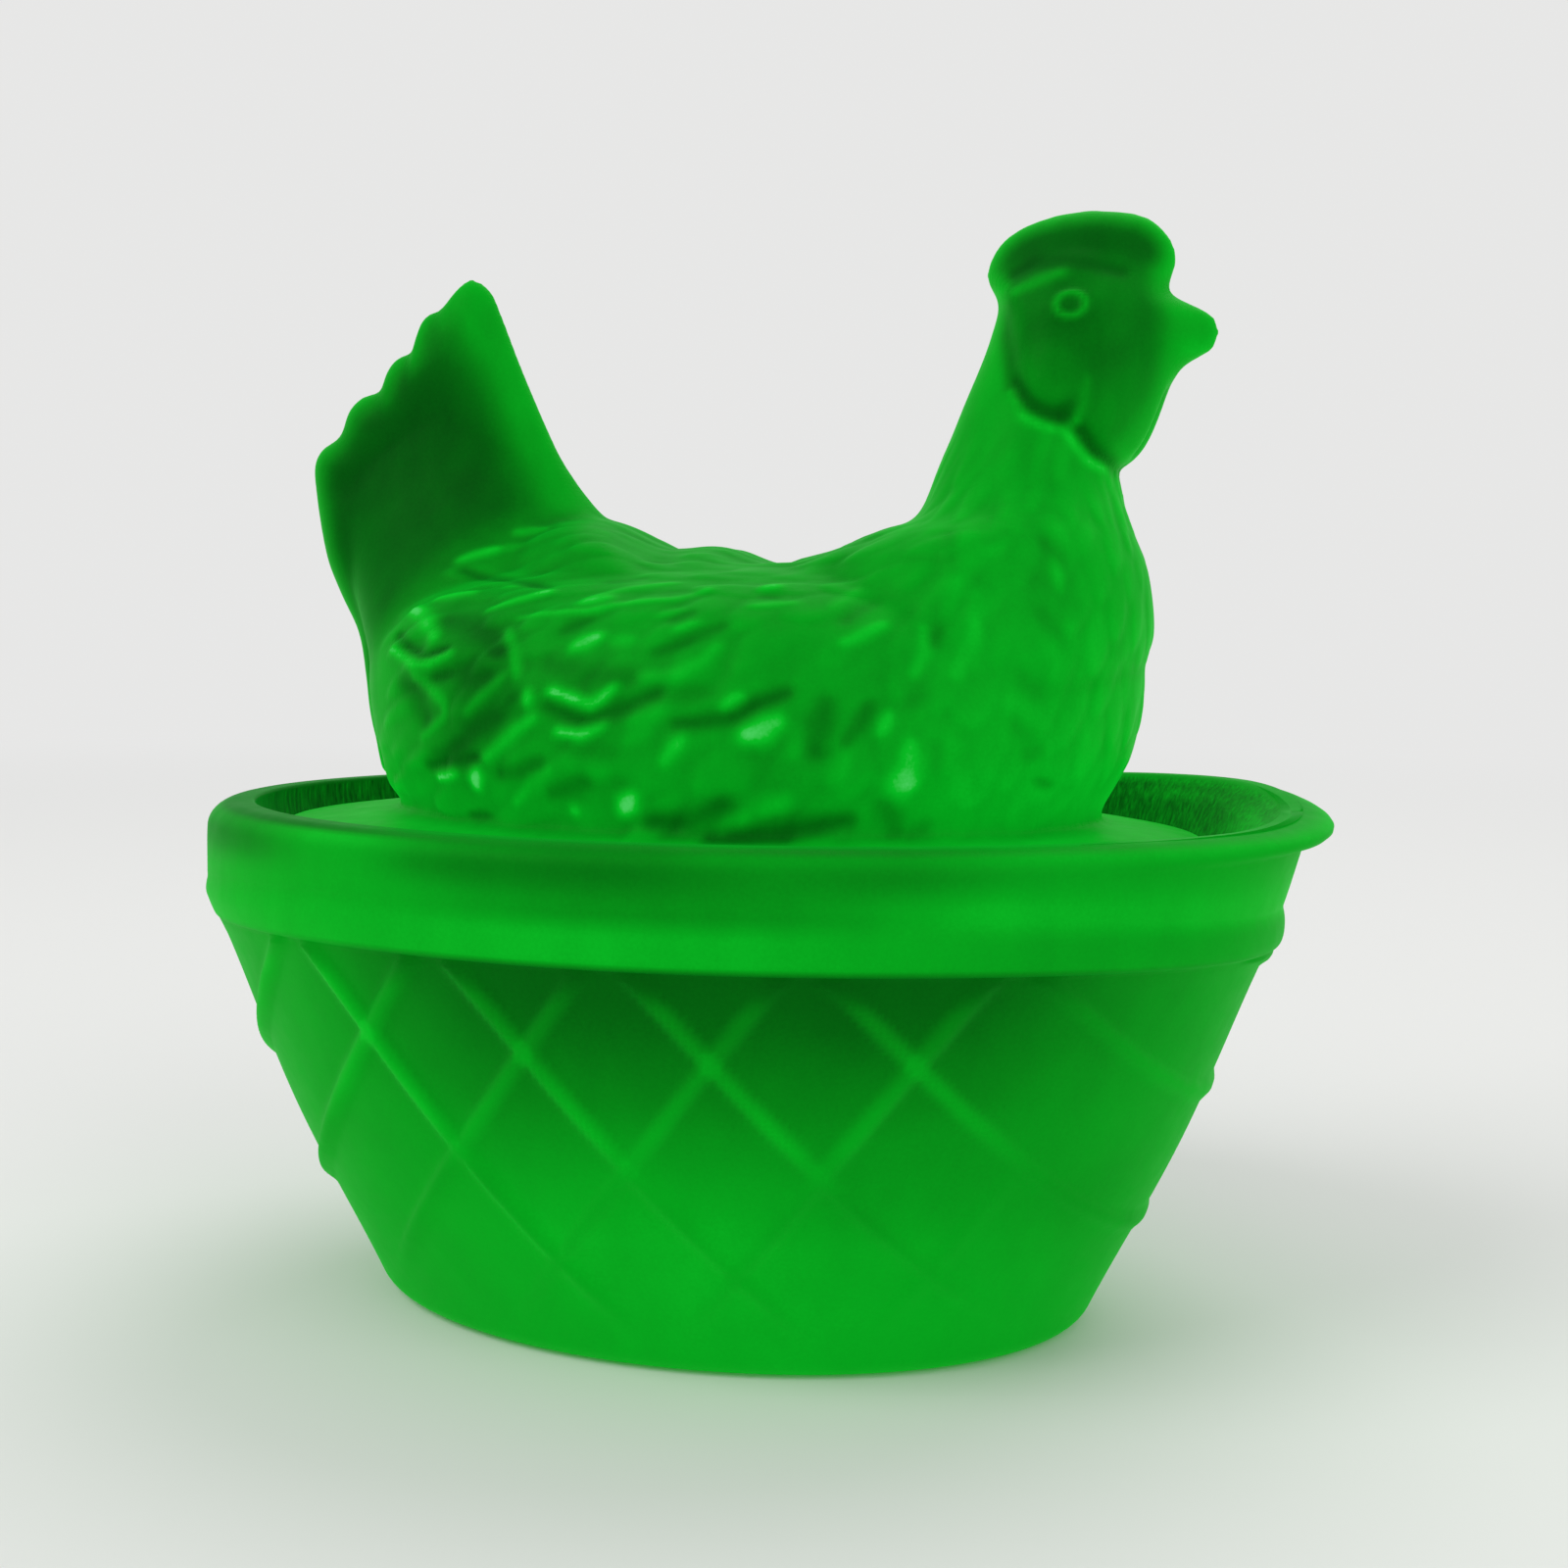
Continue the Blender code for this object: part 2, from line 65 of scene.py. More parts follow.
RIB_TAIL_END, RIB_HEAD_END, RIB_END_SLOPE = (0.46, 0.62), (0.58, 0.76), 0.012
AROUND, BAND_STEPS, BAND_TOP_SWELL = 520, 16, 0.82
FOOT_SHARES = (0.04, 0.25, 0.5, 0.75, 0.93)
FLOOR_SHARES = (0.9, 0.7, 0.5, 0.28, 0.05)

BAND_TOP = WALL_TOP + BAND_HEIGHT
RIM_TOP = BAND_TOP + COLLAR_HEIGHT
LEDGE_Z = RIM_TOP - LEDGE_DEPTH
WALL_OUT = WALL_DRAFT * WALL_TOP
RIM_OUT = WALL_OUT + BAND_PROUD - COLLAR_TUCK
SEAT_IN = RIM_OUT - RIM_THICKNESS - SEAT_TAPER

# Sizes of the lid
FLANGE_LIFT, FLANGE_HEIGHT, FLANGE_DOME, FLANGE_EDGE, FLANGE_CLEARANCE = 0.2, 1.8, 0.6, 0.6, 0.5
FLANGE_BOTTOM = LEDGE_Z + FLANGE_LIFT
FLANGE_TOP = FLANGE_BOTTOM + FLANGE_HEIGHT
BODY_LENGTH, BODY_WIDTH, BODY_HEIGHT, BODY_SHIFT = 44.4, 33.0, 14.6, 0.7
LID_WALL, HOLLOW_HEIGHT, HOLLOW_DROP, HOLLOW_TURN = 3.0, 12.2, 1.8, 75
HOLLOW_LENGTH_SHARE, HOLLOW_WIDTH_SHARE = 0.89, 0.94
BREAST_X = BODY_SHIFT + BODY_LENGTH / 2
VOXEL = 0.24


def step(low, high, value):
    """0 below low, 1 above high, and smooth between."""
    t = np.clip((value - low) / (high - low), 0.0, 1.0)
    return t * t * (3 - 2 * t)


def spot(distance, width, power=2):
    """1 at no distance, a little over a third at the width, and nearly 0 far out."""
    return np.exp(-np.abs(distance / width) ** power)


def mixed(value, other, share):
    return value + (other - value) * share


def read_off(table, where):
    """Values read from a table of (place, value), even between its rows."""
    places, values = zip(*table)
    return np.interp(where, places, values)


def make_mesh(name, points, faces):
    mesh = bpy.data.meshes.new(name)
    mesh.from_pydata((np.asarray(points) * MM).tolist(), [], faces)
    mesh.validate()
    mesh.shade_smooth()
    return mesh


def make_object(name, mesh):
    made = bpy.data.objects.new(name, mesh)
    bpy.context.scene.collection.objects.link(made)
    return made


def baked(made):
    """The object's mesh with its modifiers applied."""
    graph = bpy.context.evaluated_depsgraph_get()
    mesh = bpy.data.meshes.new_from_object(made.evaluated_get(graph))
    made.modifiers.clear()
    return mesh


def read_rows(items, name):
    """Three numbers for each item."""
    flat = np.empty(len(items) * 3)
    items.foreach_get(name, flat)
    return flat.reshape(-1, 3)


def points_of(mesh):
    return read_rows(mesh.vertices, "co") / MM


def normals_of(mesh):
    return read_rows(mesh.vertex_normals, "vector")


def put_points(mesh, points):
    mesh.vertices.foreach_set("co", (points * MM).ravel())
    mesh.update()


def neighbours(mesh):
    """The mesh's edges as pairs of points, and how many edges each point has."""
    flat = np.empty(len(mesh.edges) * 2, dtype=np.int64)
    mesh.edges.foreach_get("vertices", flat)
    pairs = flat.reshape(-1, 2)
    count = len(mesh.vertices)
    degree = np.bincount(pairs.ravel(), minlength=count).clip(1)
    return pairs, degree


def averaged(values, links):
    """Each point's mean over the points that it shares an edge with."""
    pairs, degree = links
    sums = np.empty_like(values)
    for k in range(values.shape[1]):
        sums[:, k] = np.bincount(pairs[:, 0], values[pairs[:, 1], k], len(degree))
        sums[:, k] += np.bincount(pairs[:, 1], values[pairs[:, 0], k], len(degree))
    return sums / degree[:, None]


def smoothed(values, links, rounds, shares=(0.5,)):
    """Values drawn toward their neighbours' mean, by the shares in turn."""
    for i in range(rounds):
        share = shares[i % len(shares)]
        values = values + share * (averaged(values, links) - values)
    return values


def ring_faces(rings, count, first=0):
    """Four-sided faces between rings of points that follow one another."""
    faces = []
    for k in range(rings - 1):
        low = first + k * count
        high = low + count
        for i in range(count):
            j = (i + 1) % count
            faces.append((low + i, low + j, high + j, high + i))
    return faces


def closed_faces(rings, count, first=0):
    """The same, with the first ring and the last closed."""
    last = first + (rings - 1) * count
    ends = [tuple(first + i for i in reversed(range(count))), tuple(last + i for i in range(count))]
    return ring_faces(rings, count, first) + ends


def put_value(mesh, name, values):
    layer = mesh.attributes.new(name, "FLOAT", "POINT")
    layer.data.foreach_set("value", np.asarray(values, dtype=np.float32))


def catmull(rows, steps):
    """A smooth path through rows of numbers."""
    rows = np.asarray(rows, dtype=float)
    ends = np.vstack([rows[:1], rows, rows[-1:]])
    path = []
    for a, b, c, d in zip(ends, ends[1:], ends[2:], ends[3:]):
        for t in np.arange(steps) / steps:
            path.append(0.5 * (2 * b + (c - a) * t + (2 * a - 5 * b + 4 * c - d) * t ** 2
                               + (3 * b - a - 3 * c + d) * t ** 3))
    return np.array([*path, rows[-1]])


class Solids:
    """Closed shapes, gathered as points and faces for one mesh."""

    def __init__(self):
        self.points = []
        self.faces = []

    def rings(self, rings):
        """A closed shape skinned over rings of points."""
        first = len(self.points)
        count = len(rings[0])
        for ring in rings:
            self.points.extend(ring)
        self.faces += closed_faces(len(rings), count, first)

    def cushion(self, outline, centre, half_width, shoulder):
        """A shape given by its side view, rounded over from its edge by a share of the way to its centre."""
        outline = np.asarray(outline, dtype=float)
        centre = np.asarray(centre, dtype=float)
        shares = [*(shoulder * (1 - np.cos(np.linspace(0, math.pi / 2, 9)))), (1 + shoulder) / 2, 0.98]
        rings = []
        for side in (-1, 1):
            levels = []
            for share in shares:
                flat = outline + (centre - outline) * share
                rise = math.sqrt(max(0.0, 1 - (1 - min(1.0, share / shoulder)) ** 2))
                y = side * half_width(flat[:, 0], flat[:, 1]) * max(rise, 0.02)
                levels.append(np.stack([flat[:, 0], y, flat[:, 1]], 1))
            rings += levels[::-1] if side < 0 else levels
        self.rings(rings)


def oval(half_length, half_width, z, centre_x=0.0, count=110):
    """A level ring of points."""
    t = np.linspace(0, 2 * math.pi, count, endpoint=False)
    return np.stack([centre_x + half_length * np.cos(t), half_width * np.sin(t), np.full(count, z)], 1)


# Materials: satin glass that gives its own green light


def node(tree, kind, **values):
    """A shader node with its sockets or settings filled in by name."""
    made = tree.nodes.new(kind)
    for name, value in values.items():
        if name in made.inputs:
            made.inputs[name].default_value = value
        else:
            setattr(made, name, value)
    return made


def math_node(tree, operation, first, second):
    made = node(tree, "ShaderNodeMath", operation=operation)
    for socket, value in zip(made.inputs, (first, second)):
        if isinstance(value, (int, float)):
            socket.default_value = value
        else:
            tree.links.new(value, socket)
    return made.outputs[0]


def noise(tree, where, scale, detail, roughness=0.5):
    made = node(tree, "ShaderNodeTexNoise", Scale=scale, Detail=detail, Roughness=roughness)
    tree.links.new(where, made.inputs["Vector"])
    return made.outputs["Fac"]


def linear(level):
    """A screen level of 0 to 255 as linear light."""
    level /= 255
    return level / 12.92 if level <= 0.04045 else ((level + 0.055) / 1.055) ** 2.4


# The colours of the painted glow from its darkest level to its brightest, with a paler painted highlight at
# the top, and the shares of it for its light and for its body's base colour
GLOW_SHARE, BASE_GLOW_SHARE = 0.92, 0.08
BASKET_MOTTLE, HEN_MOTTLE = 0.08, 0.18
SATIN = {"Emission Strength": 1.0, "IOR": 1.5, "Specular IOR Level": 0.015, "Sheen Weight": 0.35,
         "Sheen Roughness": 0.45, "Sheen Tint": (0.01, 0.8, 0.06, 1.0)}
GLOW_LEVELS = ((0.0, (1, 60, 7)), (0.25, (2, 95, 12)), (0.5, (4, 130, 19)), (0.75, (4, 163, 27)),
               (0.9, (8, 186, 36)), (1.0, (70, 206, 92)))


def glow_colours(tree, level, share):
    """A share of the painted glow's colour at a level."""
    made = node(tree, "ShaderNodeValToRGB")
    elements = made.color_ramp.elements
    while len(elements) < len(GLOW_LEVELS):
        elements.new(0.5)
    for element, (place, screen) in zip(elements, GLOW_LEVELS):
        element.position = place
        element.color = (*(linear(v) * share for v in screen), 1.0)
    tree.links.new(level, made.inputs["Fac"])
    return made.outputs["Color"]


def stretched(tree, where, scales):
    made = node(tree, "ShaderNodeVectorMath", operation="MULTIPLY")
    tree.links.new(where, made.inputs[0])
    made.inputs[1].default_value = scales
    return made.outputs[0]


def varied(tree, level, texture, middle, share):
    """The level, moved up and down by how far a texture is off its middle."""
    off = math_node(tree, "SUBTRACT", texture, middle)
    return math_node(tree, "ADD", level, math_node(tree, "MULTIPLY", off, share))


def satin_glass(name, mottle):
    """Satin glass lit by its points' glow, with mottles, grain, and scratches where its points have wear."""
    material = bpy.data.materials.new(name)
    material.use_nodes = True
    tree = material.node_tree
    shader = tree.nodes["Principled BSDF"]
    where = node(tree, "ShaderNodeTexCoord").outputs["Object"]
    level = node(tree, "ShaderNodeAttribute", attribute_name="glow").outputs["Fac"]
    wear = node(tree, "ShaderNodeAttribute", attribute_name="wear").outputs["Fac"]
    clouds = noise(tree, where, 160, 2)
    mottles = noise(tree, stretched(tree, where, (1, 1, 0.45)), 460, 2)
    grain = noise(tree, where, 5200, 2, 0.6)
    scratches = noise(tree, stretched(tree, where, (1, 1, 0.12)), 4600, 2, 0.7)
    for texture, share in ((clouds, 0.1), (mottles, mottle), (grain, 0.09)):
        level = varied(tree, level, texture, 0.5, share)
    level = varied(tree, level, scratches, 0.45, math_node(tree, "MULTIPLY", wear, 0.9))
    tree.links.new(glow_colours(tree, level, GLOW_SHARE), shader.inputs["Emission Color"])
    # The base colour carries the same painted light and shade, at a smaller share
    tree.links.new(glow_colours(tree, level, BASE_GLOW_SHARE), shader.inputs["Base Color"])
    for socket, value in SATIN.items():
        shader.inputs[socket].default_value = value
    rough = node(tree, "ShaderNodeMapRange")
    rough.inputs["To Min"].default_value = 0.38
    rough.inputs["To Max"].default_value = 0.56
    tree.links.new(noise(tree, where, 900, 3), rough.inputs["Value"])
    tree.links.new(rough.outputs["Result"], shader.inputs["Roughness"])
    bump = node(tree, "ShaderNodeBump", Strength=0.12, Distance=0.00005)
    tree.links.new(noise(tree, where, 4200, 3, 0.65), bump.inputs["Height"])
    tree.links.new(bump.outputs["Normal"], shader.inputs["Normal"])
    return material


# Basket


def arc_points(centre, radius, start, end, steps):
    """Points along an arc, with both its ends."""
    turns = np.linspace(start, end, steps + 1)
    return [(centre[0] + radius * math.cos(a), centre[1] + radius * math.sin(a)) for a in turns]


def line_points(start, end, steps):
    """Points after start, up to end."""
    shares = np.arange(1, steps + 1) / steps
    return [(start[0] + (end[0] - start[0]) * s, start[1] + (end[1] - start[1]) * s) for s in shares]


def belly(share):
    """How far the wall stands off its straight slant: fuller half way up, drawn in at the foot."""
    return WALL_BELLY * math.sin(math.pi * share) ** 2 - FOOT_TUCK * (1 - share) ** 2


def basket_rows():
    """Rows of (share of the oval, offset, height), from under the foot over the rim to the bowl's floor."""
    draft_angle = math.atan(WALL_DRAFT)
    foot_run = FOOT_ROUND * math.tan((math.pi / 2 - draft_angle) / 2)
    foot = arc_points((-foot_run, FOOT_ROUND), FOOT_ROUND, -math.pi / 2, -draft_angle, 9)
    wall = line_points(foot[-1], (WALL_OUT, WALL_TOP), 76)
    foot, wall = ([(out + belly(z / WALL_TOP), z) for out, z in rows] for rows in (foot, wall))
    band = []
    for i in range(1, BAND_STEPS + 1):
        turn = math.pi * (i / BAND_STEPS - 0.5)
        swell = math.cos(turn) ** 0.5
        if turn >= 0:
            swell = max(swell, BAND_TOP_SWELL)
        out = WALL_OUT + BAND_PROUD * swell if i < BAND_STEPS else RIM_OUT
        band.append((out, WALL_TOP + BAND_HEIGHT / 2 * (1 + math.sin(turn))))
    collar = line_points((RIM_OUT, BAND_TOP), (RIM_OUT, RIM_TOP - RIM_ROUND), 18)
    rim_in = RIM_OUT - RIM_THICKNESS
    rim = arc_points((RIM_OUT - RIM_ROUND, RIM_TOP - RIM_ROUND), RIM_ROUND, 0.0, math.pi / 2, 10)[1:]
    rim += line_points(rim[-1], (rim_in + RIM_INNER_ROUND, RIM_TOP), 5)
    inner_centre = (rim_in + RIM_INNER_ROUND, RIM_TOP - RIM_INNER_ROUND)
    rim += arc_points(inner_centre, RIM_INNER_ROUND, math.pi / 2, math.pi, 6)[1:]
    ledge_in = SEAT_IN - LEDGE_WIDTH
    seat = line_points(rim[-1], (SEAT_IN, LEDGE_Z + SEAT_EASE), 8)
    seat.append((SEAT_IN - CORNER_CUT, LEDGE_Z + CORNER_CUT))
    ledge_start, ledge_end = (SEAT_IN - LEDGE_EASE, LEDGE_Z), (ledge_in + LEDGE_EASE, LEDGE_Z)
    ledge = [ledge_start, *line_points(ledge_start, ledge_end, 5)]
    ledge.append((ledge_in + CORNER_CUT, LEDGE_Z - CORNER_CUT))
    floor_out = WALL_DRAFT * FLOOR_THICKNESS - WALL_THICKNESS
    lean = math.atan2(ledge_in - floor_out, LEDGE_Z - FLOOR_THICKNESS)
    floor_run = FLOOR_ROUND * math.tan((math.pi / 2 - lean) / 2)
    floor_centre = (floor_out - floor_run, FLOOR_THICKNESS + FLOOR_ROUND)
    bowl = arc_points(floor_centre, FLOOR_ROUND, -lean, -math.pi / 2, 10)
    inside = line_points((ledge_in, LEDGE_Z - LEDGE_EASE), bowl[0], 26)
    rows = [(share, foot[0][0], 0.0) for share in FOOT_SHARES]
    for part in (foot, wall, band, collar, rim, seat, ledge, inside, bowl[1:]):
        rows += [(1.0, offset, z) for offset, z in part]
    rows += [(share, bowl[-1][0], FLOOR_THICKNESS) for share in FLOOR_SHARES]
    return np.array(rows)


def lattice(x, z):
    """Two sets of crossing ribs, each 1 along a crest and 0 off it, on the pattern as seen from the side."""
    run = DIAMOND_WIDTH / DIAMOND_HEIGHT
    across = math.cos(math.atan(run))
    middle = WALL_TOP + BAND_HEIGHT / 2 - DIAMOND_HEIGHT
    crests = []
    for side in (-1, 1):
        turns = (x - LATTICE_SHIFT - side * run * (z - middle)) / DIAMOND_WIDTH
        off = np.abs(turns - np.round(turns)) * DIAMOND_WIDTH * across
        crests.append(np.clip(1 - (off / (RIB_WIDTH / 2)) ** 2, 0, 1) ** RIB_SHARPNESS)
    return crests


# Levels of the basket's light, the first two by height
WALL_LIGHT = (
    (0, 0.73), (5, 0.76), (8, 0.79), (9.5, 0.75), (11.5, 0.68), (14, 0.57), (15.8, 0.46), (17.5, 0.38),
    (19.5, 0.27), (21, 0.21), (22.3, 0.19),
)
BOWL_LIGHT = ((4, 0.62), (12, 0.45), (24.6, 0.36))
END_LIGHT, TAIL_COLLAR_LIGHT, UNDER_BAND_LIGHT = 0.66, 0.42, 0.3
RIB_LIGHT, RIB_LOW_SHADE, RISING_RIB_SHARE = 0.3, 0.04, 0.7


def wall_glow(z, toward, ends, crest):
    """Bright low down and dark under the band, evened out at the ends, with the upper ribs lighter."""
    wall = mixed(read_off(WALL_LIGHT, z), END_LIGHT, ends)
    wall -= 0.08 * step(0.2, 0.35, toward) * (1 - step(0.8, 0.98, toward)) * spot(z - 10, 3.5)
    rib = RIB_LIGHT * step(10, 15, z) * (1 - step(20.3, 22.2, z)) - RIB_LOW_SHADE * step(1.5, 6, z)
    rib *= (1 - 0.65 * step(0.35, 0.95, -toward)) * (1 - 0.7 * step(0.38, 0.62, toward))
    return wall + rib * np.clip(crest, 0, 1.2)


def collar_glow(z, toward, ends, top_edge):
    """A bright band, a plain middle and an upper part with two light patches, under the rim's top edge."""
    upper = 0.39 + 0.28 * step(0.25, 0.58, toward)
    upper += 0.36 * spot(toward + 0.36, 0.16) + 0.15 * spot(toward - 0.24, 0.12)
    middle = 0.56 + 0.25 * step(0.15, 0.5, toward) + 0.2 * step(0, 0.3, -toward)
    band = 0.81 - 0.14 * step(0.1, 0.6, toward)
    collar = mixed(band, middle, step(24, 25.2, z))
    collar = mixed(collar, upper, step(25.4, 27, z)) + 0.1 * spot(z - 27.7, 0.35)
    collar = mixed(collar, TAIL_COLLAR_LIGHT, step(0.78, 0.9, -toward) * step(23.5, 25, z))
    collar = mixed(collar, UNDER_BAND_LIGHT, (1 - step(22.4, 22.85, z)) * (1 - 0.8 * ends))
    return mixed(collar, top_edge, step(27.85, 28.12, z))


def inside_glow(z, toward, top_edge):
    """A dark inner wall of the rim over the paler bowl, with light caught on the lip at the head end."""
    lip = step(0.35, 0.7, toward)
    rim_wall = 0.1 + 0.16 * step(0.45, 0.75, toward)
    rim_wall += 0.3 * step(0.88, 1, toward) * (1 - step(27, 28, z))
    rim_wall += 0.2 * spot(z - 27.3, 0.25) * spot(toward - 0.75, 0.2)
    inside = mixed(read_off(BOWL_LIGHT, z), rim_wall, step(24.8, 25.4, z))
    inside += (top_edge - rim_wall) * step(27.9 - 0.5 * lip, 28.15, z)
    return inside + 0.3 * spot(z - 28.02, 0.08) * step(-0.7, -0.3, toward) * (1 - lip)


def basket_glow(z, toward, outer, crest):
    """The level of the light, by height in the section and by how far the surface faces the head end."""
    ends = np.maximum(step(0.05, 0.55, -toward), step(0.3, 1, toward))
    top_edge = 0.2 + 0.26 * step(-0.48, -0.2, toward) + 0.12 * step(0.3, 0.6, toward)
    wall = wall_glow(z, toward, ends, crest)
    outside = np.where(z < WALL_TOP + 0.05, wall, collar_glow(z, toward, ends, top_edge))
    return np.where(outer, outside, inside_glow(z, toward, top_edge))


def make_basket():
    """The section's rows swept round the oval, then moved off it for the ribs, the lip and the rim."""
    rows = basket_rows()
    share, offset, z = (np.repeat(rows[:, [k]], AROUND, 1) for k in range(3))
    t = np.linspace(0, 2 * math.pi, AROUND, endpoint=False)
    toward_head, toward_tail = np.clip(np.cos(t), 0, 1), np.clip(-np.cos(t), 0, 1)
    out = np.stack([np.cos(t) / FOOT_A, np.sin(t) / FOOT_B], 1)
    out /= np.linalg.norm(out, axis=1)[:, None]
    peak = int(np.argmax(rows[:, 2]))
    outer = np.repeat((np.arange(len(rows)) <= peak)[:, None], AROUND, 1)

    # The band sinks into the wall at the tail end
    on_band = outer & (z >= WALL_TOP) & (z < BAND_TOP)
    offset -= toward_tail ** 2.5 * np.where(on_band, np.clip(offset - WALL_DRAFT * z, 0, None), 0.0)
    x = share * (FOOT_A + offset) * np.cos(t)
    y = share * (FOOT_B + offset) * np.sin(t)

    # Ribs: each set fades at the end that it runs along, and both toward the foot
    on_wall = outer & (z < WALL_TOP - 0.01) & (share > 0.99)
    falling, rising = (np.where(on_wall, crest, 0.0) for crest in lattice(x, z))
    low = RIB_END_SLOPE * (WALL_TOP - z)
    falling *= 1 - step(*RIB_TAIL_END, low - out[:, 0])
    rising *= 1 - step(*RIB_HEAD_END, low + out[:, 0])
    proud = RIB_HEIGHT * np.maximum(falling, rising) * step(1.6, 7.5, z)
    proud *= 1 - step(19.5, 21.5, z) * step(0.4, 0.8, -out[:, 0])
    proud *= 1 - 0.3 * step(0.3, 0.8, out[:, 0])
    x += proud * out[:, 0]
    y += proud * out[:, 1]

    # The lip leans out and curls over at the head end, and the rim leans in a little at the tail end
    bead_low = RIM_TOP - 2 * HEAD_LIP_HALF
    bead = np.clip(1 - ((z - RIM_TOP + HEAD_LIP_HALF) / HEAD_LIP_HALF) ** 2, 0, 1) ** 0.5
    lean = np.clip((z - BAND_TOP) / (bead_low - BAND_TOP), 0, 1)
    flare = np.clip((z - FLANGE_TOP) / (RIM_TOP - FLANGE_TOP), 0, 1)
    curl_out = HEAD_LIP_BEAD * toward_head ** 10 * bead
    flare_in = HEAD_LIP_FLARE * toward_head ** 5 * flare
    x += HEAD_LIP_LEAN * toward_head ** 5 * lean + np.where(outer, curl_out, flare_in)
    tail_lean = np.clip((z - TAIL_RIM_LOW) / (RIM_TOP - TAIL_RIM_LOW), 0, 1) ** 2
    x += TAIL_RIM_LEAN * toward_tail ** 3 * tail_lean

    # The band dips toward the ends, and the rim rises beside the lip
    dips = ((15, 0), (21, 0.5 * BAND_DIP), (WALL_TOP, BAND_DIP), (BAND_TOP, BAND_DIP_TOP), (bead_low, 0),
            (RIM_TOP, 0))
    turn = (np.degrees(t) - RIM_RISE_TURN + 180) % 360 - 180
    rise = RIM_RISE * spot(turn, np.where(turn < 0, *RIM_RISE_WIDTHS))
    final_z = z - read_off(dips, z) * outer * np.abs(np.cos(t)) ** 4 + rise * step(BAND_TOP, RIM_TOP - 0.6, z)

    points = np.stack([x, y, final_z], -1).reshape(-1, 3)
    mesh = make_mesh("basket_glass_shell", points, closed_faces(len(rows), AROUND))
    toward = np.tile(out[:, 0], len(rows))
    crest = falling + RISING_RIB_SHARE * rising
    put_value(mesh, "glow", basket_glow(z.ravel(), toward, outer.ravel(), crest.ravel()))
    put_value(mesh, "wear", (~outer * step(24.8, 25.4, z) * (1 - step(27.9, 28.1, z))).ravel())
    mesh.materials.append(satin_glass("satin_glass_basket", BASKET_MOTTLE))
    return make_object("basket_glass_shell", mesh)


# Hen

# Body: (share of the height, share of the length, share of the width)
BODY_SECTIONS = ((-0.1, 0.865, 0.93), (0, 0.87, 0.94), (0.3, 0.968, 1), (0.6, 1, 0.96),
                 (0.8, 0.96, 0.83), (0.93, 0.86, 0.6), (1, 0.66, 0.3))
# Neck: (height over the flange, nape and throat back from the breast, width)
NECK_SECTIONS = (
    (3, 21, 2.9, 24), (7, 21, 0.9, 24), (10.5, 20.4, -0.25, 23.6), (14, 19, -0.1, 20.8),
    (16, 15.2, 0.6, 18.2), (17.2, 12.4, 1.1, 15), (19.6, 11.4, 1.7, 11.2), (23.1, 10.1, 1.4, 8.8),
    (26.1, 8.9, -0.2, 8.2), (28.8, 8.1, 0, 7.4), (30.6, 7.5, 0.8, 6), (31.6, 6.2, 2.8, 3.4),
)
# Outlines are (x, z), as seen from the side
TAIL_OUTLINE = (
    (-2, 39), (-5.8, 42.9), (-8.1, 44.3), (-9.2, 45.4), (-11, 48.4), (-13, 52.7), (-14.4, 56.1),
    (-15.1, 57.5), (-16.2, 58.1), (-17.1, 57.5), (-18, 56.5), (-19, 56.1), (-19.4, 55.3), (-19.8, 54.1),
    (-20.8, 53.7), (-21.4, 53), (-21.9, 51.8), (-23, 51.5), (-23.9, 50.7), (-24.5, 49.2), (-25.7, 48.4),
    (-26.2, 47.4), (-26.1, 46), (-25.8, 44.3), (-25.2, 41.9), (-24.3, 39.6), (-23.2, 37.2), (-22.8, 34.4),
    (-22.3, 31.2), (-20.6, 28), (-12, 28), (-4, 33),
)
HEAD_OUTLINE = (
    (14.4, 56.2), (13.9, 57.1), (14.1, 58), (14.6, 58.9), (15.5, 59.6), (16.8, 60.1), (18.1, 60.4),
    (19.5, 60.5), (21, 60.4), (22.4, 60.1), (23.3, 59.5), (23.9, 58.7), (24.1, 57.9), (24, 57.2),
    (23.7, 56.6), (23.6, 56.1), (24.2, 55.7), (25.1, 55.3), (26, 54.9), (26.35, 54.4), (26.4, 53.6),
    (26.1, 52.9), (25, 52.4), (24.2, 51.8), (24, 50.8), (23.6, 49.7), (23.1, 48.5), (22.5, 47.5),
    (21.5, 46.8), (20.6, 46.5), (19.7, 47.2), (19.1, 48.3), (17.8, 48.6), (16.2, 49.7), (15.4, 51.8),
    (15.1, 53.8), (14.9, 55.4),
)
BACK_OUTLINE = (
    (-17.5, 36.5), (-14.5, 41), (-11.5, 43.6), (-8.1, 44.2), (-5.9, 43.4), (-3.4, 42.4), (-0.7, 42.6),
    (2.8, 41.6), (6.5, 42.5), (8.5, 43.3), (10.3, 43.7), (13, 42), (13, 36), (-10, 34),
)
# Rump: (height, rear x, front x, width)
RUMP_SECTIONS = (
    (28.5, -20.2, 2, 23), (32, -20.8, 2, 25), (35, -21.2, 0, 23), (38, -22.3, -3, 17.8),
    (41, -23.6, -5, 12.2), (43.5, -24.6, -7.2, 8.4), (46, -25.2, -9.4, 5.6),
    (49, -23.6, -11.4, 4), (52, -20.8, -12.8, 3.2),
)
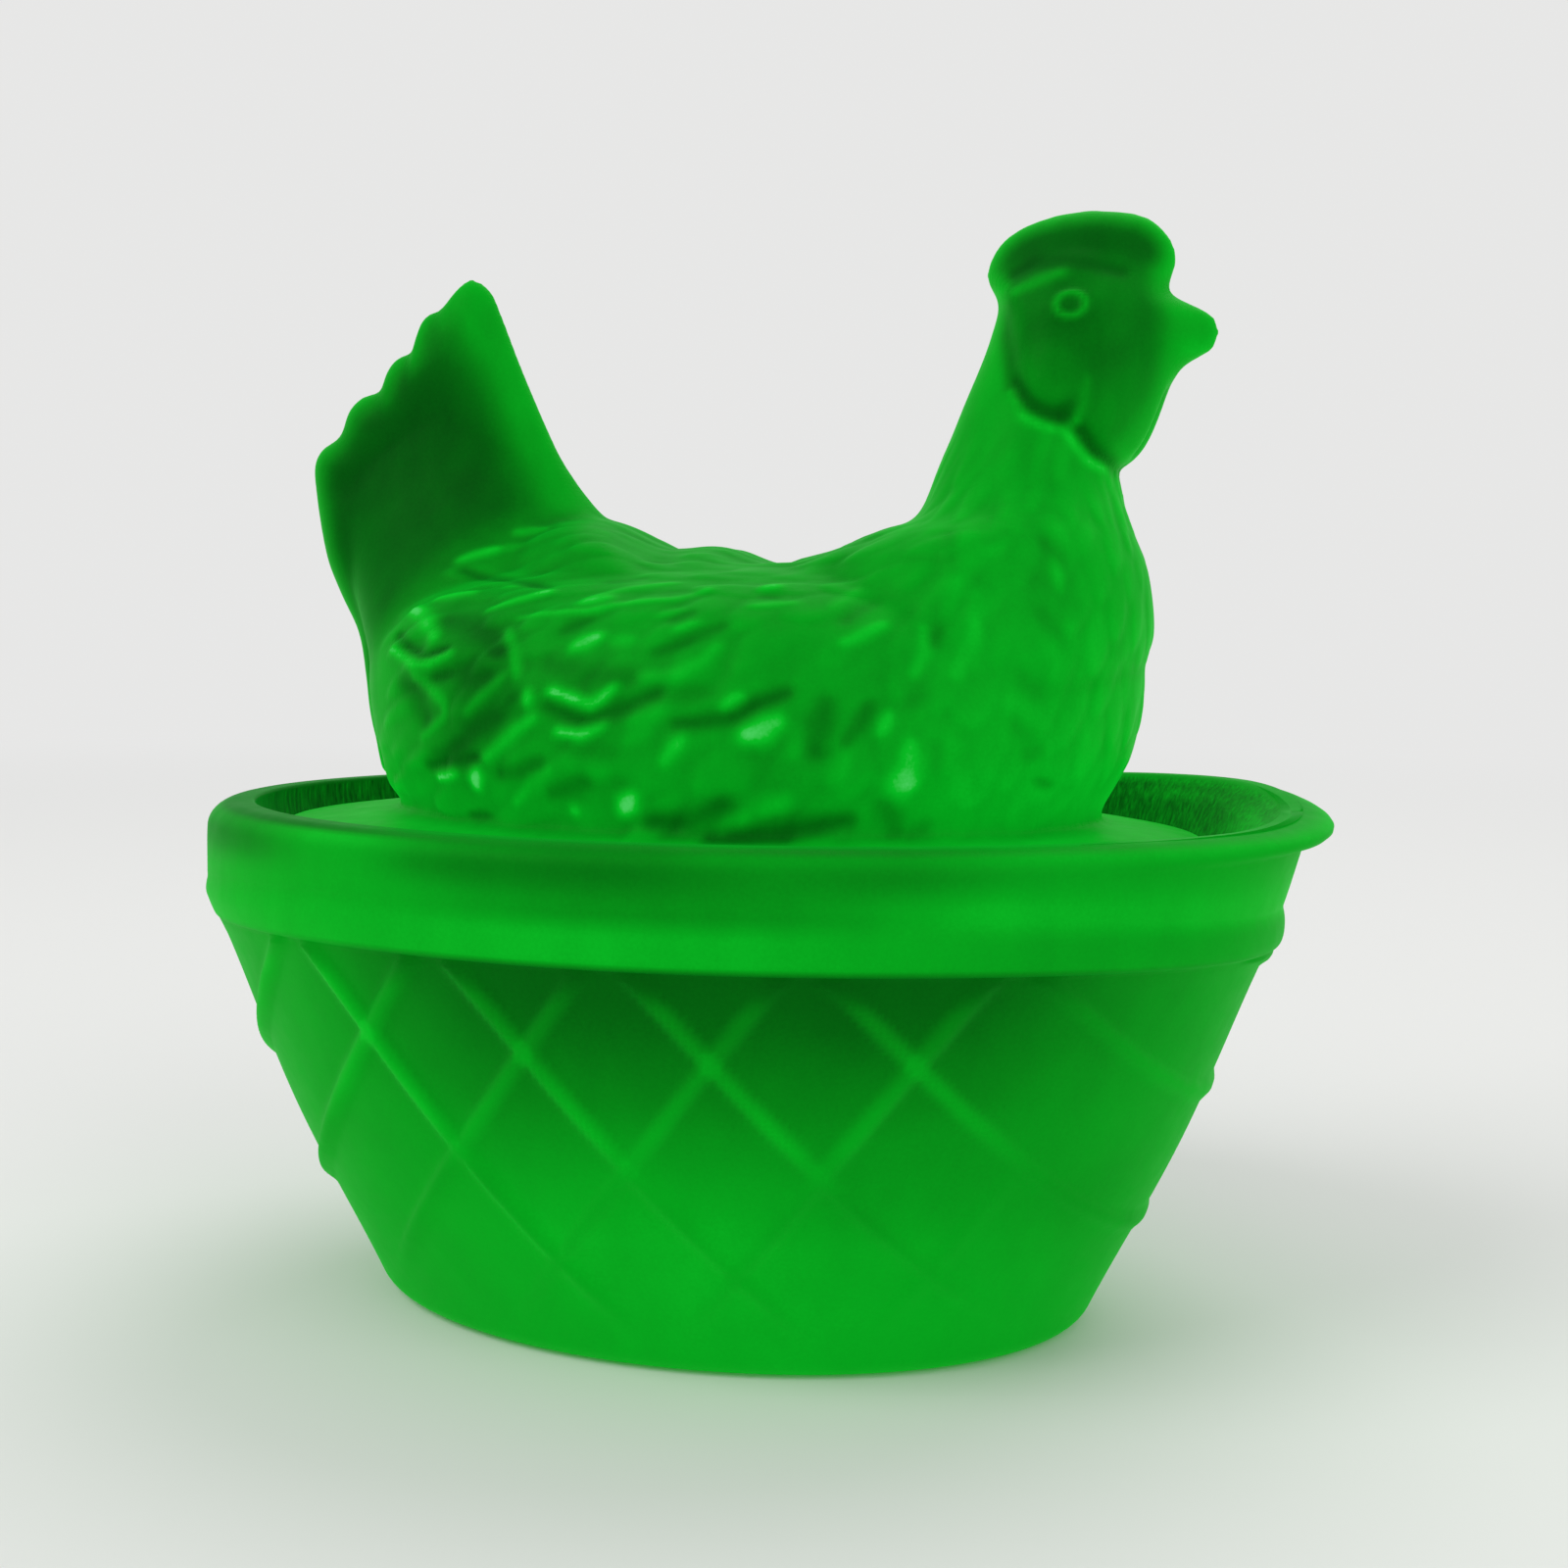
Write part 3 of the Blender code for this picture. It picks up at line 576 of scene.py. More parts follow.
# Half widths by height, and the head's share of them by x
BACK_HALF = 10.0
TAIL_HALF = ((28, 1.4), (36, 2), (41.5, 3), (46, 2), (58, 1.5))
HEAD_HALF = ((46.5, 4), (49, 5), (51, 5.1), (53, 4.8), (55.4, 4.3), (56.8, 3), (57.8, 2.3), (60.4, 1.8))
HEAD_SHARE = ((14.5, 0.72), (17.5, 1), (21, 0.95), (23.4, 0.52), (24.4, 0.37), (26.2, 0.2))
BACK_CENTRE, TAIL_CENTRE, HEAD_CENTRE = (1.0, 37.0), (-19.2, 45.5), (19.0, 53.5)
BACK_SHOULDER, TAIL_SHOULDER, HEAD_SHOULDER = 0.95, 0.42, 0.4
SKIN_ROUNDS, SKIN_SHARES, FILLET_ROUNDS, SOFT_ROUNDS = 22, (0.55, -0.4), 40, 14


def back_half(x, z):
    return np.full(len(x), BACK_HALF)


def tail_half(x, z):
    return read_off(TAIL_HALF, z)


def head_half(x, z):
    return read_off(HEAD_HALF, z) * read_off(HEAD_SHARE, x)


def softened(points, links, share, rounds):
    """Points drawn toward their neighbours' mean, each by half its own share."""
    for _ in range(rounds):
        points = points + 0.5 * share[:, None] * (averaged(points, links) - points)
    return points


def melt(solids):
    """All the shapes as one fine mesh, softened where they join."""
    made = make_object("hen_figure", make_mesh("hen_figure", solids.points, solids.faces))
    remesh = made.modifiers.new("one_skin", "REMESH")
    remesh.mode = "VOXEL"
    remesh.voxel_size = VOXEL * MM
    mesh = baked(made)
    old = made.data
    made.data = mesh
    bpy.data.meshes.remove(old)
    links = neighbours(mesh)
    points = smoothed(points_of(mesh), links, SKIN_ROUNDS, SKIN_SHARES)
    x, y, z = points.T
    reach = np.hypot((x - BODY_SHIFT) / BODY_LENGTH, y / BODY_WIDTH) * 2
    fillet = step(0.78, 0.86, reach) * (1 - step(1.05, 1.15, reach))
    fillet *= step(26.4, 27, z) * (1 - step(28.4, 29.6, z))
    points = softened(points, links, fillet, FILLET_ROUNDS)
    head = step(47, 48.5, z) * step(10, 12, x)
    back = step(33, 36, z) * (1 - step(45, 49, z)) * step(-25, -22, x) * (1 - step(17, 20, x))
    put_points(mesh, softened(points, links, np.maximum(head, back), SOFT_ROUNDS))
    return made, links


def hen_solids():
    """Body, back, neck, rump, tail, head and flange, each a closed shape."""
    solids = Solids()
    rings = []
    for height, length, width in catmull(BODY_SECTIONS, 8):
        z = FLANGE_TOP + height * BODY_HEIGHT
        rings.append(oval(length * BODY_LENGTH / 2, width * BODY_WIDTH / 2, z, BODY_SHIFT))
    solids.rings(rings)
    solids.cushion(catmull(BACK_OUTLINE, 4), BACK_CENTRE, back_half, BACK_SHOULDER)
    rings = []
    for height, nape, throat, width in catmull(NECK_SECTIONS, 8):
        middle_x = BREAST_X - (nape + throat) / 2
        rings.append(oval((nape - throat) / 2, width / 2, FLANGE_TOP + height, middle_x))
    solids.rings(rings)
    rings = []
    for z, rear, front, width in catmull(RUMP_SECTIONS, 8):
        rings.append(oval((front - rear) / 2, width / 2, z, (front + rear) / 2))
    solids.rings(rings)
    solids.cushion(catmull(TAIL_OUTLINE, 6), TAIL_CENTRE, tail_half, TAIL_SHOULDER)
    solids.cushion(catmull(HEAD_OUTLINE, 4), HEAD_CENTRE, head_half, HEAD_SHOULDER)
    half_length = FOOT_A + SEAT_IN - FLANGE_CLEARANCE
    half_width = FOOT_B + SEAT_IN - FLANGE_CLEARANCE
    inner_length, inner_width = half_length - FLANGE_EDGE, half_width - FLANGE_EDGE
    dome_z = FLANGE_TOP + FLANGE_DOME
    solids.rings([
        oval(inner_length, inner_width, FLANGE_BOTTOM),
        oval(half_length, half_width, FLANGE_BOTTOM + FLANGE_EDGE),
        oval(half_length, half_width, FLANGE_TOP - FLANGE_EDGE),
        oval(inner_length, inner_width, FLANGE_TOP),
        oval(BODY_LENGTH / 2, BODY_WIDTH / 2, dome_z, BODY_SHIFT),
        oval(BODY_LENGTH / 4, BODY_WIDTH / 4, dome_z, BODY_SHIFT),
    ])
    return solids


def feather(where, root, tip, width, height):
    """Relief of one feather: rising from its root to a rounded tip, then falling away."""
    root, tip = np.asarray(root, dtype=float), np.asarray(tip, dtype=float)
    length = np.linalg.norm(tip - root)
    along_way = (tip - root) / length
    across_way = np.array([-along_way[1], along_way[0]])
    off = where - root
    along = off @ along_way / length
    across = off @ across_way / (width / 2)
    far = ((along - 0.5) / 0.6) ** 2 + across ** 2
    lift = 0.15 + 0.85 * np.clip(along, 0, 1.1) ** 1.2
    return np.where(far < 1, height * lift * (1 - far ** 3), 0.0)


PLAN_Z, PLAN_RADIUS, PLAN_MIDDLE = 29, 16.5, 0.3


def body_plan(points):
    """Places on the body unrolled about its length: x, and the way up the side and over the back."""
    x, y, z = points.T
    turn = np.arctan2(z - PLAN_Z, np.maximum(np.abs(y), PLAN_MIDDLE))
    return np.stack([x, PLAN_Z + PLAN_RADIUS * turn], 1)


# Feathers on the body plan, each raised in relief and painted lighter in the glow as a painted highlight: a
# path, its half width and its strength
FEATHER_MARKS = (
    (((-11.8, 50.5), (-10.2, 50.9)), 0.28, 0.7), (((-14.5, 48), (-13.4, 48.6), (-12.5, 49.1)), 0.33, 1),
    (((-12.3, 49.2), (-11.3, 49.6)), 0.28, 0.4), (((-14.4, 43.6), (-12, 43)), 0.38, 0.9),
    (((-10.3, 40.7), (-8.6, 41.2), (-6.9, 41.8)), 0.26, 0.9), (((-10.2, 43.4), (-9.6, 43.4)), 0.19, 0.5),
    (((-8.1, 39.6), (-5.8, 39.5), (-4, 39.5), (-2.7, 40.1), (0.4, 40.6), (1.9, 41.6)), 0.2, 0.6),
    (((-4.5, 40.8), (-2.7, 41.8), (-0.3, 42.7)), 0.26, 0.5),
    (((-15.8, 43.1), (-14.4, 41.3), (-13.3, 39.4)), 0.48, 0.9),
    (((-16.7, 40.2), (-14.5, 38), (-13.1, 37.6), (-11.8, 37.8)), 0.27, 0.9),
    (((-14.4, 37.2), (-13.1, 36), (-12, 35), (-11.8, 34.3)), 0.26, 0.6),
    (((-11.9, 34.1), (-13.6, 33.1)), 0.23, 0.6), (((-8.5, 38.7), (-7.7, 37.1), (-7.3, 35.9)), 0.28, 0.7),
    (((-6.5, 34.9), (-6.4, 34.3)), 0.3, 0.9), (((-6.1, 33.6), (-7.4, 32.7), (-9, 31.6)), 0.33, 0.7),
    (((-8.1, 36), (-9.1, 35.2), (-10.3, 34.1)), 0.25, 0.5), (((-4.2, 37.2), (-3, 37.7)), 0.45, 0.8),
    (((-2.1, 37.5), (-1.2, 37.5)), 0.39, 0.4),
    (((-5.2, 34.9), (-3.9, 34.5), (-2.9, 34.1), (-2.3, 34.4), (-1.7, 35)), 0.29, 1),
    (((-4.7, 32.9), (-3.4, 32.7), (-2.1, 33.2)), 0.27, 1),
    (((-0.3, 35.6), (1.5, 35.6), (2.8, 36.4), (3.3, 37.2)), 0.34, 0.4),
    (((-0.2, 39.2), (0.9, 39.6)), 0.22, 0.5),
    (((1, 38.1), (2, 38.6)), 0.22, 0.6), (((-0.5, 33.4), (0.7, 33.9)), 0.48, 0.4),
    (((1.1, 31.5), (2, 32.6)), 0.34, 0.6), (((-1, 29.1), (-0.7, 29.6)), 0.6, 0.9),
    (((-4.6, 40.3), (-3.3, 40.8)), 0.36, 0.7),
    (((-3.9, 29), (-3.8, 28.8)), 0.3, 0.7), (((-12.5, 30.4), (-11.2, 30.7)), 0.3, 1.1),
    (((-9.7, 30), (-9.7, 30.8)), 0.44, 1), (((-7.3, 29.1), (-6.2, 30.4), (-5.2, 31)), 0.25, 0.4),
    (((4, 34.2), (4.8, 34.7)), 0.29, 0.7), (((5.1, 32.9), (5.8, 33.1), (6.6, 33.6)), 0.58, 0.8),
    (((4.5, 41.8), (5.4, 42.2)), 0.25, 0.7), (((4.5, 40), (6.5, 40.6)), 0.22, 0.5),
    (((9.4, 38.1), (10.2, 38.7), (11.1, 39.7)), 0.34, 0.5),
    (((13, 39.9), (13.2, 38.3), (12.8, 36.9)), 0.29, 0.4),
    (((15.6, 40.4), (15.3, 39.2), (14.7, 37.4)), 0.39, 0.3),
    (((12.8, 33.2), (12.7, 32.3), (12.6, 31.6)), 0.42, 0.5),
    (((12.4, 31.4), (12.2, 30.4)), 0.8, 0.5),
    (((11.8, 34.6), (11.4, 33.6)), 0.31, 0.6), (((18.9, 45.3), (19.2, 44.2)), 0.3, 0.3),
    (((8.5, 40.7), (9.4, 42.5)), 0.3, 0.3), (((7.8, 33.2), (7.4, 32.2)), 0.43, 0.3),
    (((9.8, 32.3), (9.2, 31)), 0.43, 0.3), (((6, 29.3), (7, 29.9)), 0.43, 0.3),
    (((3.8, 28), (5, 28.9)), 0.34, 0.3), (((-0.8, 32.5), (0.2, 33)), 0.34, 0.3),
)
# Hollows between the feathers, each sunk in relief and painted darker in the glow as painted shade: a path,
# its half width and its strength
FEATHER_HOLLOWS = (
    (((-14, 47.1), (-12.2, 46.3), (-9.8, 44.4), (-7.5, 42.8)), 0.32, 0.8),
    (((-12.9, 40.8), (-10.8, 39.5), (-9.2, 38.3)), 0.78, 0.7), (((-9.1, 37.5), (-8.3, 37.4)), 0.46, 0.9),
    (((-16.7, 41.6), (-15.2, 39.4), (-13.8, 38.2), (-12.3, 38.3)), 0.27, 1),
    (((-12.9, 36.7), (-11.7, 36.6)), 0.36, 0.7), (((-11.1, 36.6), (-9.3, 36)), 0.82, 0.5),
    (((-15.3, 37.3), (-13.9, 35.6), (-13.4, 34.2)), 0.63, 0.8),
    (((-13.2, 31.3), (-11.5, 31.5), (-9.8, 31.6)), 0.41, 1),
    (((-7.5, 34.7), (-8.6, 33.7), (-10.6, 32.3), (-12.5, 31.8)), 0.61, 0.8),
    (((-8.1, 30.7), (-7, 30.8), (-5.8, 31.3)), 0.4, 0.8), (((-5, 38.3), (-3.9, 39)), 0.4, 0.6),
    (((-5.2, 34.1), (-3.9, 33.6), (-2.7, 33.5), (-0.9, 34.1), (0.6, 34.8)), 0.39, 0.8),
    (((-5.4, 36.3), (-3.2, 35.6), (-1, 35.6)), 0.54, 0.5), (((0.7, 38.8), (1.6, 39.3)), 0.25, 0.5),
    (((0.3, 36.9), (1.7, 37.5), (3.3, 38.5)), 0.34, 0.5),
    (((1.7, 33.3), (3.1, 33.5), (4.3, 33.7), (5.5, 34.4), (7, 35.1)), 0.34, 0.9),
    (((0.3, 28.5), (2.1, 28.5), (4, 29.5)), 0.53, 1), (((-5, 29.9), (-3.2, 30.3)), 0.54, 0.6),
    (((8.9, 34.7), (8.7, 33.4), (8.5, 32.4)), 0.53, 0.7),
    (((10.9, 34.9), (10.4, 33.8), (9.8, 33)), 0.33, 0.5),
    (((5.8, 31.8), (6.4, 30.6)), 0.72, 0.3),
    (((3.4, 27.7), (5, 27.8), (6.8, 28), (8.3, 28.4), (9.8, 28.7)), 0.55, 1),
    (((11.6, 29.6), (12, 28.1)), 0.53, 0.6), (((13.9, 33.4), (14, 31.5)), 0.29, 0.3),
    (((9.3, 39.7), (10.3, 41.3)), 0.39, 0.4), (((13.5, 41.3), (13.7, 38.9)), 0.29, 0.3),
    (((18.6, 42.3), (19.2, 41.8)), 0.5, 0.3), (((17.8, 38.7), (18.2, 38.1)), 0.64, 0.3),
    (((17.8, 35.5), (18, 35.1)), 0.49, 0.3), (((18.5, 34.5), (18.1, 33.4)), 0.3, 0.4),
    (((18.5, 31.8), (18.8, 31.7)), 0.25, 0.7), (((18.4, 45.9), (19.2, 45.6)), 0.45, 0.3),
    (((13.9, 45.5), (14, 43.9)), 0.25, 0.3), (((15.4, 43), (15.8, 42.6)), 0.39, 0.2),
    (((4.6, 41), (5.5, 41.1)), 0.17, 0.5), (((-4.2, 43.1), (-2.3, 43.9)), 0.31, 0.3),
    (((-1.4, 41.2), (0.5, 41.7)), 0.25, 0.3), (((15.9, 45.1), (16.5, 45.6)), 0.35, 0.3),
    (((-4.1, 32.2), (-1.6, 31.8)), 0.44, 0.3), (((3, 34.9), (1.6, 34.6)), 0.39, 0.3),
    (((13.2, 36.4), (12.8, 35.4)), 0.39, 0.2), (((-0.9, 30.3), (-3.1, 29.4)), 0.39, 0.2),
    (((13.5, 28.4), (12.8, 27.7)), 0.39, 0.3), (((-10.5, 28), (-9.2, 28.1)), 0.21, 0.6),
)


def off_path(where, path):
    """Distance of each place from a path of straight runs, and the share of the path where it is nearest."""
    path = np.asarray(path, dtype=float)
    runs = np.diff(path, axis=0)
    lengths = np.linalg.norm(runs, axis=1)
    starts = np.concatenate([[0], np.cumsum(lengths)])
    nearest, way = np.full(len(where), 1e9), np.zeros(len(where))
    for start, run, length, before in zip(path, runs, lengths, starts):
        share = np.clip((where - start) @ run / (run @ run), 0, 1)
        off = np.linalg.norm(where - start - share[:, None] * run, axis=1)
        way = np.where(off < nearest, (before + share * length) / starts[-1], way)
        nearest = np.minimum(nearest, off)
    return nearest, way


def marked(where, marks, spread, power):
    """Soft strokes along paths, each thinning out toward its ends."""
    level = np.zeros(len(where))
    for path, width, height in marks:
        off, way = off_path(where, path)
        taper = 0.7 + 0.3 * np.sin(math.pi * way)
        level = np.maximum(level, height * spot(off, width * spread * taper, power))
    return level


def within(where, outline):
    """How deep each place lies inside an outline; below zero outside it."""
    inside = np.zeros(len(where), dtype=bool)
    corners = np.asarray(outline, dtype=float)
    for (ax, az), (bx, bz) in zip(corners, np.roll(corners, -1, 0)):
        crosses = (az > where[:, 1]) != (bz > where[:, 1])
        edge_x = ax + (where[:, 1] - az) * (bx - ax) / (bz - az if bz != az else 1e-9)
        inside ^= crosses & (where[:, 0] < edge_x)
    distance, _ = off_path(where, [*outline, outline[0]])
    return np.where(inside, distance, -distance)


PLUMAGE_SEED, PLUMAGE_ROWS, PLUMAGE_COLUMNS, BACK_FROM = 7, 12, 14, 41
HACKLE_SEED, HACKLE_ROWS, HACKLE_COLUMNS, HACKLE_RADIUS = 11, 10, 13, 9
# By x: the way that the feathers point, in degrees, and the share of their height
PLUMAGE_TURN = ((-14, 200), (-2, 214), (8, 232), (14, 250), (19, 264))
PLUMAGE_SHARE = ((-16, 1), (9, 1), (14, 0.6), (20, 0.35))
# By height: the x of the line that the neck's feathers hang round
NECK_AXIS = ((28, 10), (40, 14.5), (50, 17.5))


def plumage(plan):
    """Low, uneven feathering all over, lying back and down along the body."""
    rng = np.random.default_rng(PLUMAGE_SEED)
    relief = np.zeros(len(plan))
    for row in range(PLUMAGE_ROWS):
        for column in range(PLUMAGE_COLUMNS):
            x = -16 + 2.8 * column + 1.4 * (row % 2) + rng.uniform(-1.1, 1.1)
            v = 29.3 + 2.2 * row + rng.uniform(-0.8, 0.8)
            turn = read_off(PLUMAGE_TURN, x) + rng.uniform(-14, 14)
            long, wide, high = rng.uniform(2.8, 5.6), rng.uniform(1.4, 2.6), rng.uniform(0.07, 0.28)
            high *= read_off(PLUMAGE_SHARE, x)
            if v > BACK_FROM:
                turn, long, wide = 184 + rng.uniform(-12, 12), rng.uniform(3.6, 5.4), 1.7
            reach = np.array([math.cos(math.radians(turn)), math.sin(math.radians(turn))]) * long / 2
            middle = np.array([x, v])
            relief = np.maximum(relief, feather(plan, middle - reach, middle + reach, wide, high))
    return relief


def hackles(points):
    """Short feathers hanging in rows round the neck and breast, by the turn from the front and the height."""
    rng = np.random.default_rng(HACKLE_SEED)
    x, y, z = points.T
    plan = np.stack([HACKLE_RADIUS * np.abs(np.arctan2(y, x - read_off(NECK_AXIS, z))), z], 1)
    relief = np.zeros(len(plan))
    for row in range(HACKLE_ROWS):
        for column in range(HACKLE_COLUMNS):
            u = 2.3 * column + 1.15 * (row % 2) + rng.uniform(-0.5, 0.5)
            v = 30.5 + 1.85 * row + rng.uniform(-0.5, 0.5)
            drop, lean = rng.uniform(1.4, 2.2), rng.uniform(-0.4, 0.4)
            wide, high = rng.uniform(1.3, 2.0), rng.uniform(0.06, 0.2)
            root, tip = (u - lean, v + drop), (u + lean, v - drop)
            relief = np.maximum(relief, feather(plan, root, tip, wide, high))
    return relief


# Ridges and hollows on the head, as seen from the side: the ridges raised and painted lighter as painted
# highlights, the hollows sunk and painted darker as painted shade
LOBE_EDGE = ((16, 50.5), (16.8, 49.2), (17.8, 48.7), (18.8, 48.5), (19.5, 49), (19.9, 49.9), (20, 51.1))
HEAD_RIDGES = (
    (LOBE_EDGE[:5], 0.26, 1),
    (LOBE_EDGE[4:], 0.22, 0.5),
    (((18.8, 48.5), (19.4, 47.8), (20, 47), (20.7, 46.6)), 0.3, 1),
    (((16, 55.8), (17.2, 56.3), (18.4, 56.7)), 0.38, 0.8),
)
HEAD_HOLLOWS = (
    (((16.4, 51), (17.1, 49.8), (18.2, 49.3), (19.2, 49.8)), 0.45, 0.8),
    (((15.8, 56.9), (16.7, 57.4), (18.5, 57.5), (21.4, 56.8)), 0.45, 0.9),
    (((19.8, 48.6), (20.3, 47.6), (21, 47.2)), 0.35, 0.5),
)
EYE = (19, 54.9)
FACE_OUTLINE = (
    (15.4, 56.2), (15.1, 53.5), (15.7, 50.7), (16.4, 49.6), (17.9, 48.7), (19.2, 48.4), (19.8, 47.2),
    (20.8, 46.5), (25, 46), (28, 50), (28, 62), (12, 62), (12, 57),
)
TAIL_FRONT = TAIL_OUTLINE[2:8]
NECK_SHADE = ((17, 47.6), (17.6, 45), (18.4, 42), (19.2, 39.5))
RUMP_SHADE = ((-11.5, 40.5), (-10, 37), (-10.5, 33.5))
FAN_OUTLINE = (
    (-7.5, 44.9), (-12, 44.3), (-15.2, 43), (-16.8, 40.8), (-18.2, 38.6), (-20.5, 36.7), (-23.5, 35.5),
    (-30, 36), (-30, 62), (-7.5, 62),
)

# Levels of the hen's light, the first by height
HEN_EDGE_LIGHT = ((27, 0.71), (29, 0.8), (38, 0.8), (43, 0.68), (47, 0.66))
BODY_LIGHT, BREAST_LIGHT, HEAD_LIGHT, FAN_LIGHT = 0.58, 0.72, 0.28, 0.12
FLANGE_LIGHT, FAN_EDGE_LIGHT, COMB_EDGE_LIGHT, HOLLOW_LIGHT = 0.66, 0.62, 0.72, 0.62


def hen_parts(points, normals):
    """The skin's points in two flat views, and how far each belongs to the hen's parts and marks."""
    x, y, z = points.T
    plan, side_view = body_plan(points), points[:, [0, 2]]
    facing = step(0.15, 0.5, np.abs(normals[:, 1]))
    head = step(-0.5, 0.6, within(side_view, FACE_OUTLINE)) * step(45, 46, z)
    skin = step(27.3, 27.8, z) * (1 - step(46.5, 49, z) * step(8, 10, x)) * step(-21.5, -18, x)
    cleft = spot(y, 0.8) * step(0.35, 0.8, normals[:, 0]) * step(46.3, 47.3, z) * (1 - step(50.3, 51.8, z))
    from_eye = np.hypot(x - EYE[0], (z - EYE[1]) * 1.2)
    return SimpleNamespace(
        plan=plan, side_view=side_view, head=head, skin=skin,
        fan=step(-2.6, 1.2, within(side_view, FAN_OUTLINE)),
        ruff=step(9.5, 13.5, x) * step(29, 31, z) * (1 - step(47.5, 50, z)) * (1 - head),
        cleft=cleft * step(19.5, 20.5, x),
        ridges=marked(plan, FEATHER_MARKS, 1.3, 3) * skin,
        hollows=marked(plan, FEATHER_HOLLOWS, 1.4, 2) * skin,
        head_ridges=marked(side_view, HEAD_RIDGES, 1.1, 3) * facing,
        head_hollows=marked(side_view, HEAD_HOLLOWS, 1.2, 2) * facing,
        lobe=spot(np.hypot((x - 18) / 1.9, (z - 51) / 2.1), 1, 4) * facing * head,
        eye_ring=spot(from_eye - 0.74, 0.21) * facing,
        pupil=spot(from_eye, 0.36) * facing,
    )


def hen_relief(points, links, part):
    """How far the feathers and the marks stand out from the skin."""
    x, _, z = points.T
    feathers = plumage(part.plan) * part.skin * (1 - part.fan)
    feathers *= (1 - 0.7 * step(44, 47, z)) * (1 - step(19.5, 22, x))
    rise = feathers + 0.2 * part.ridges - 0.16 * part.hollows
    rise += 0.1 * part.head_ridges - 0.12 * part.head_hollows + 0.18 * part.lobe
    rise += hackles(points) * part.ruff - 0.5 * part.cleft
    eye = 0.2 * part.eye_ring + 0.08 * part.pupil
    return smoothed(rise[:, None], links, 4)[:, 0] + smoothed(eye[:, None], links, 2)[:, 0]


def hen_base_glow(points, part):
    """The level of the light by place alone."""
    x, _, z = points.T
    base = mixed(BODY_LIGHT, BREAST_LIGHT, step(10, 17, x))
    base -= 0.1 * spot(off_path(part.side_view, NECK_SHADE)[0], 1.7)
    base -= 0.24 * spot(off_path(part.plan, RUMP_SHADE)[0], 3)
    base += 0.05 * (1 - step(30, 36, z)) - 0.06 * step(38, 43, z) * (1 - step(6, 10, x))
    # The painted glow is lighter on the wattle, the lobe and the beak than on the head, and darker on the
    # comb
    head = HEAD_LIGHT + 0.1 * part.lobe - 0.14 * step(56.5, 58.5, z)
    head += 0.1 * step(19, 21.5, x) * (1 - step(49.5, 52.5, z))
    head += 0.34 * step(22.6, 24.6, x) * step(50.5, 52.5, z) * (1 - step(55.6, 56.6, z))
    base = mixed(base, head, part.head)
    base = mixed(base, FAN_LIGHT, part.fan)
    base = mixed(base, FLANGE_LIGHT, 1 - step(27.1, 27.6, z))
    front = spot(off_path(part.side_view, TAIL_FRONT)[0], 2.4) + 0.45 * step(51, 58, z)
    return mixed(base, FAN_EDGE_LIGHT, np.clip(front, 0, 1) * part.fan)


def hen_glow(points, normals, fine, links, part):
    """The level of the light by place, by how the skin turns away from the side, and by the relief."""
    x, _, z = points.T
    edge = read_off(HEN_EDGE_LIGHT, z) - 0.14 * step(36, 40, z) * (1 - step(8, 11, x))
    edge += 0.12 * step(41, 45, z) * step(8, 11, x)
    turned = np.clip(1 - np.abs(smoothed(normals, links, 10)[:, 1]), 0, 1) ** 1.1
    glow = mixed(hen_base_glow(points, part), edge, turned * (1 - 0.55 * part.head))
    # Painted light along the edges of the comb, the beak and the tail
    comb_edge = np.maximum(step(55.6, 56.6, z), step(20.8, 21.8, x))
    comb_edge *= part.head * (1 - step(0, 1.5, within(part.side_view, HEAD_OUTLINE)))
    glow = mixed(glow, COMB_EDGE_LIGHT, comb_edge)
    fan_edge = part.fan * (1 - step(0, 2.4, within(part.side_view, TAIL_OUTLINE)))
    glow = mixed(glow, FAN_EDGE_LIGHT, fan_edge)
    # Painted highlights on the raised marks and the eye ring, and painted shade in the sunk marks
    strokes = 0.32 * part.ridges - 0.3 * part.hollows + 0.3 * part.head_ridges - 0.14 * part.head_hollows
    glow += smoothed(strokes[:, None], links, 2)[:, 0] + 0.22 * part.eye_ring
    # Painted highlights on bumps and painted shade in hollows, by how far the skin bulges
    return glow + np.clip(fine * 1.6, -0.18, 0.14)


def make_hen():
    made, links = melt(hen_solids())
    mesh = made.data
    points, normals = points_of(mesh), normals_of(mesh)
    part = hen_parts(points, normals)
    raised = points + normals * hen_relief(points, links, part)[:, None]
    put_points(mesh, raised)
    # How far the skin bulges out of its smoothed self, for the painted highlights and shade in the glow
    fine = ((raised - smoothed(raised, links, 14)) * normals_of(mesh)).sum(1)
    put_value(mesh, "glow", hen_glow(points, normals, fine, links, part))
    mesh.materials.append(satin_glass("satin_glass_hen", HEN_MOTTLE))
    return made


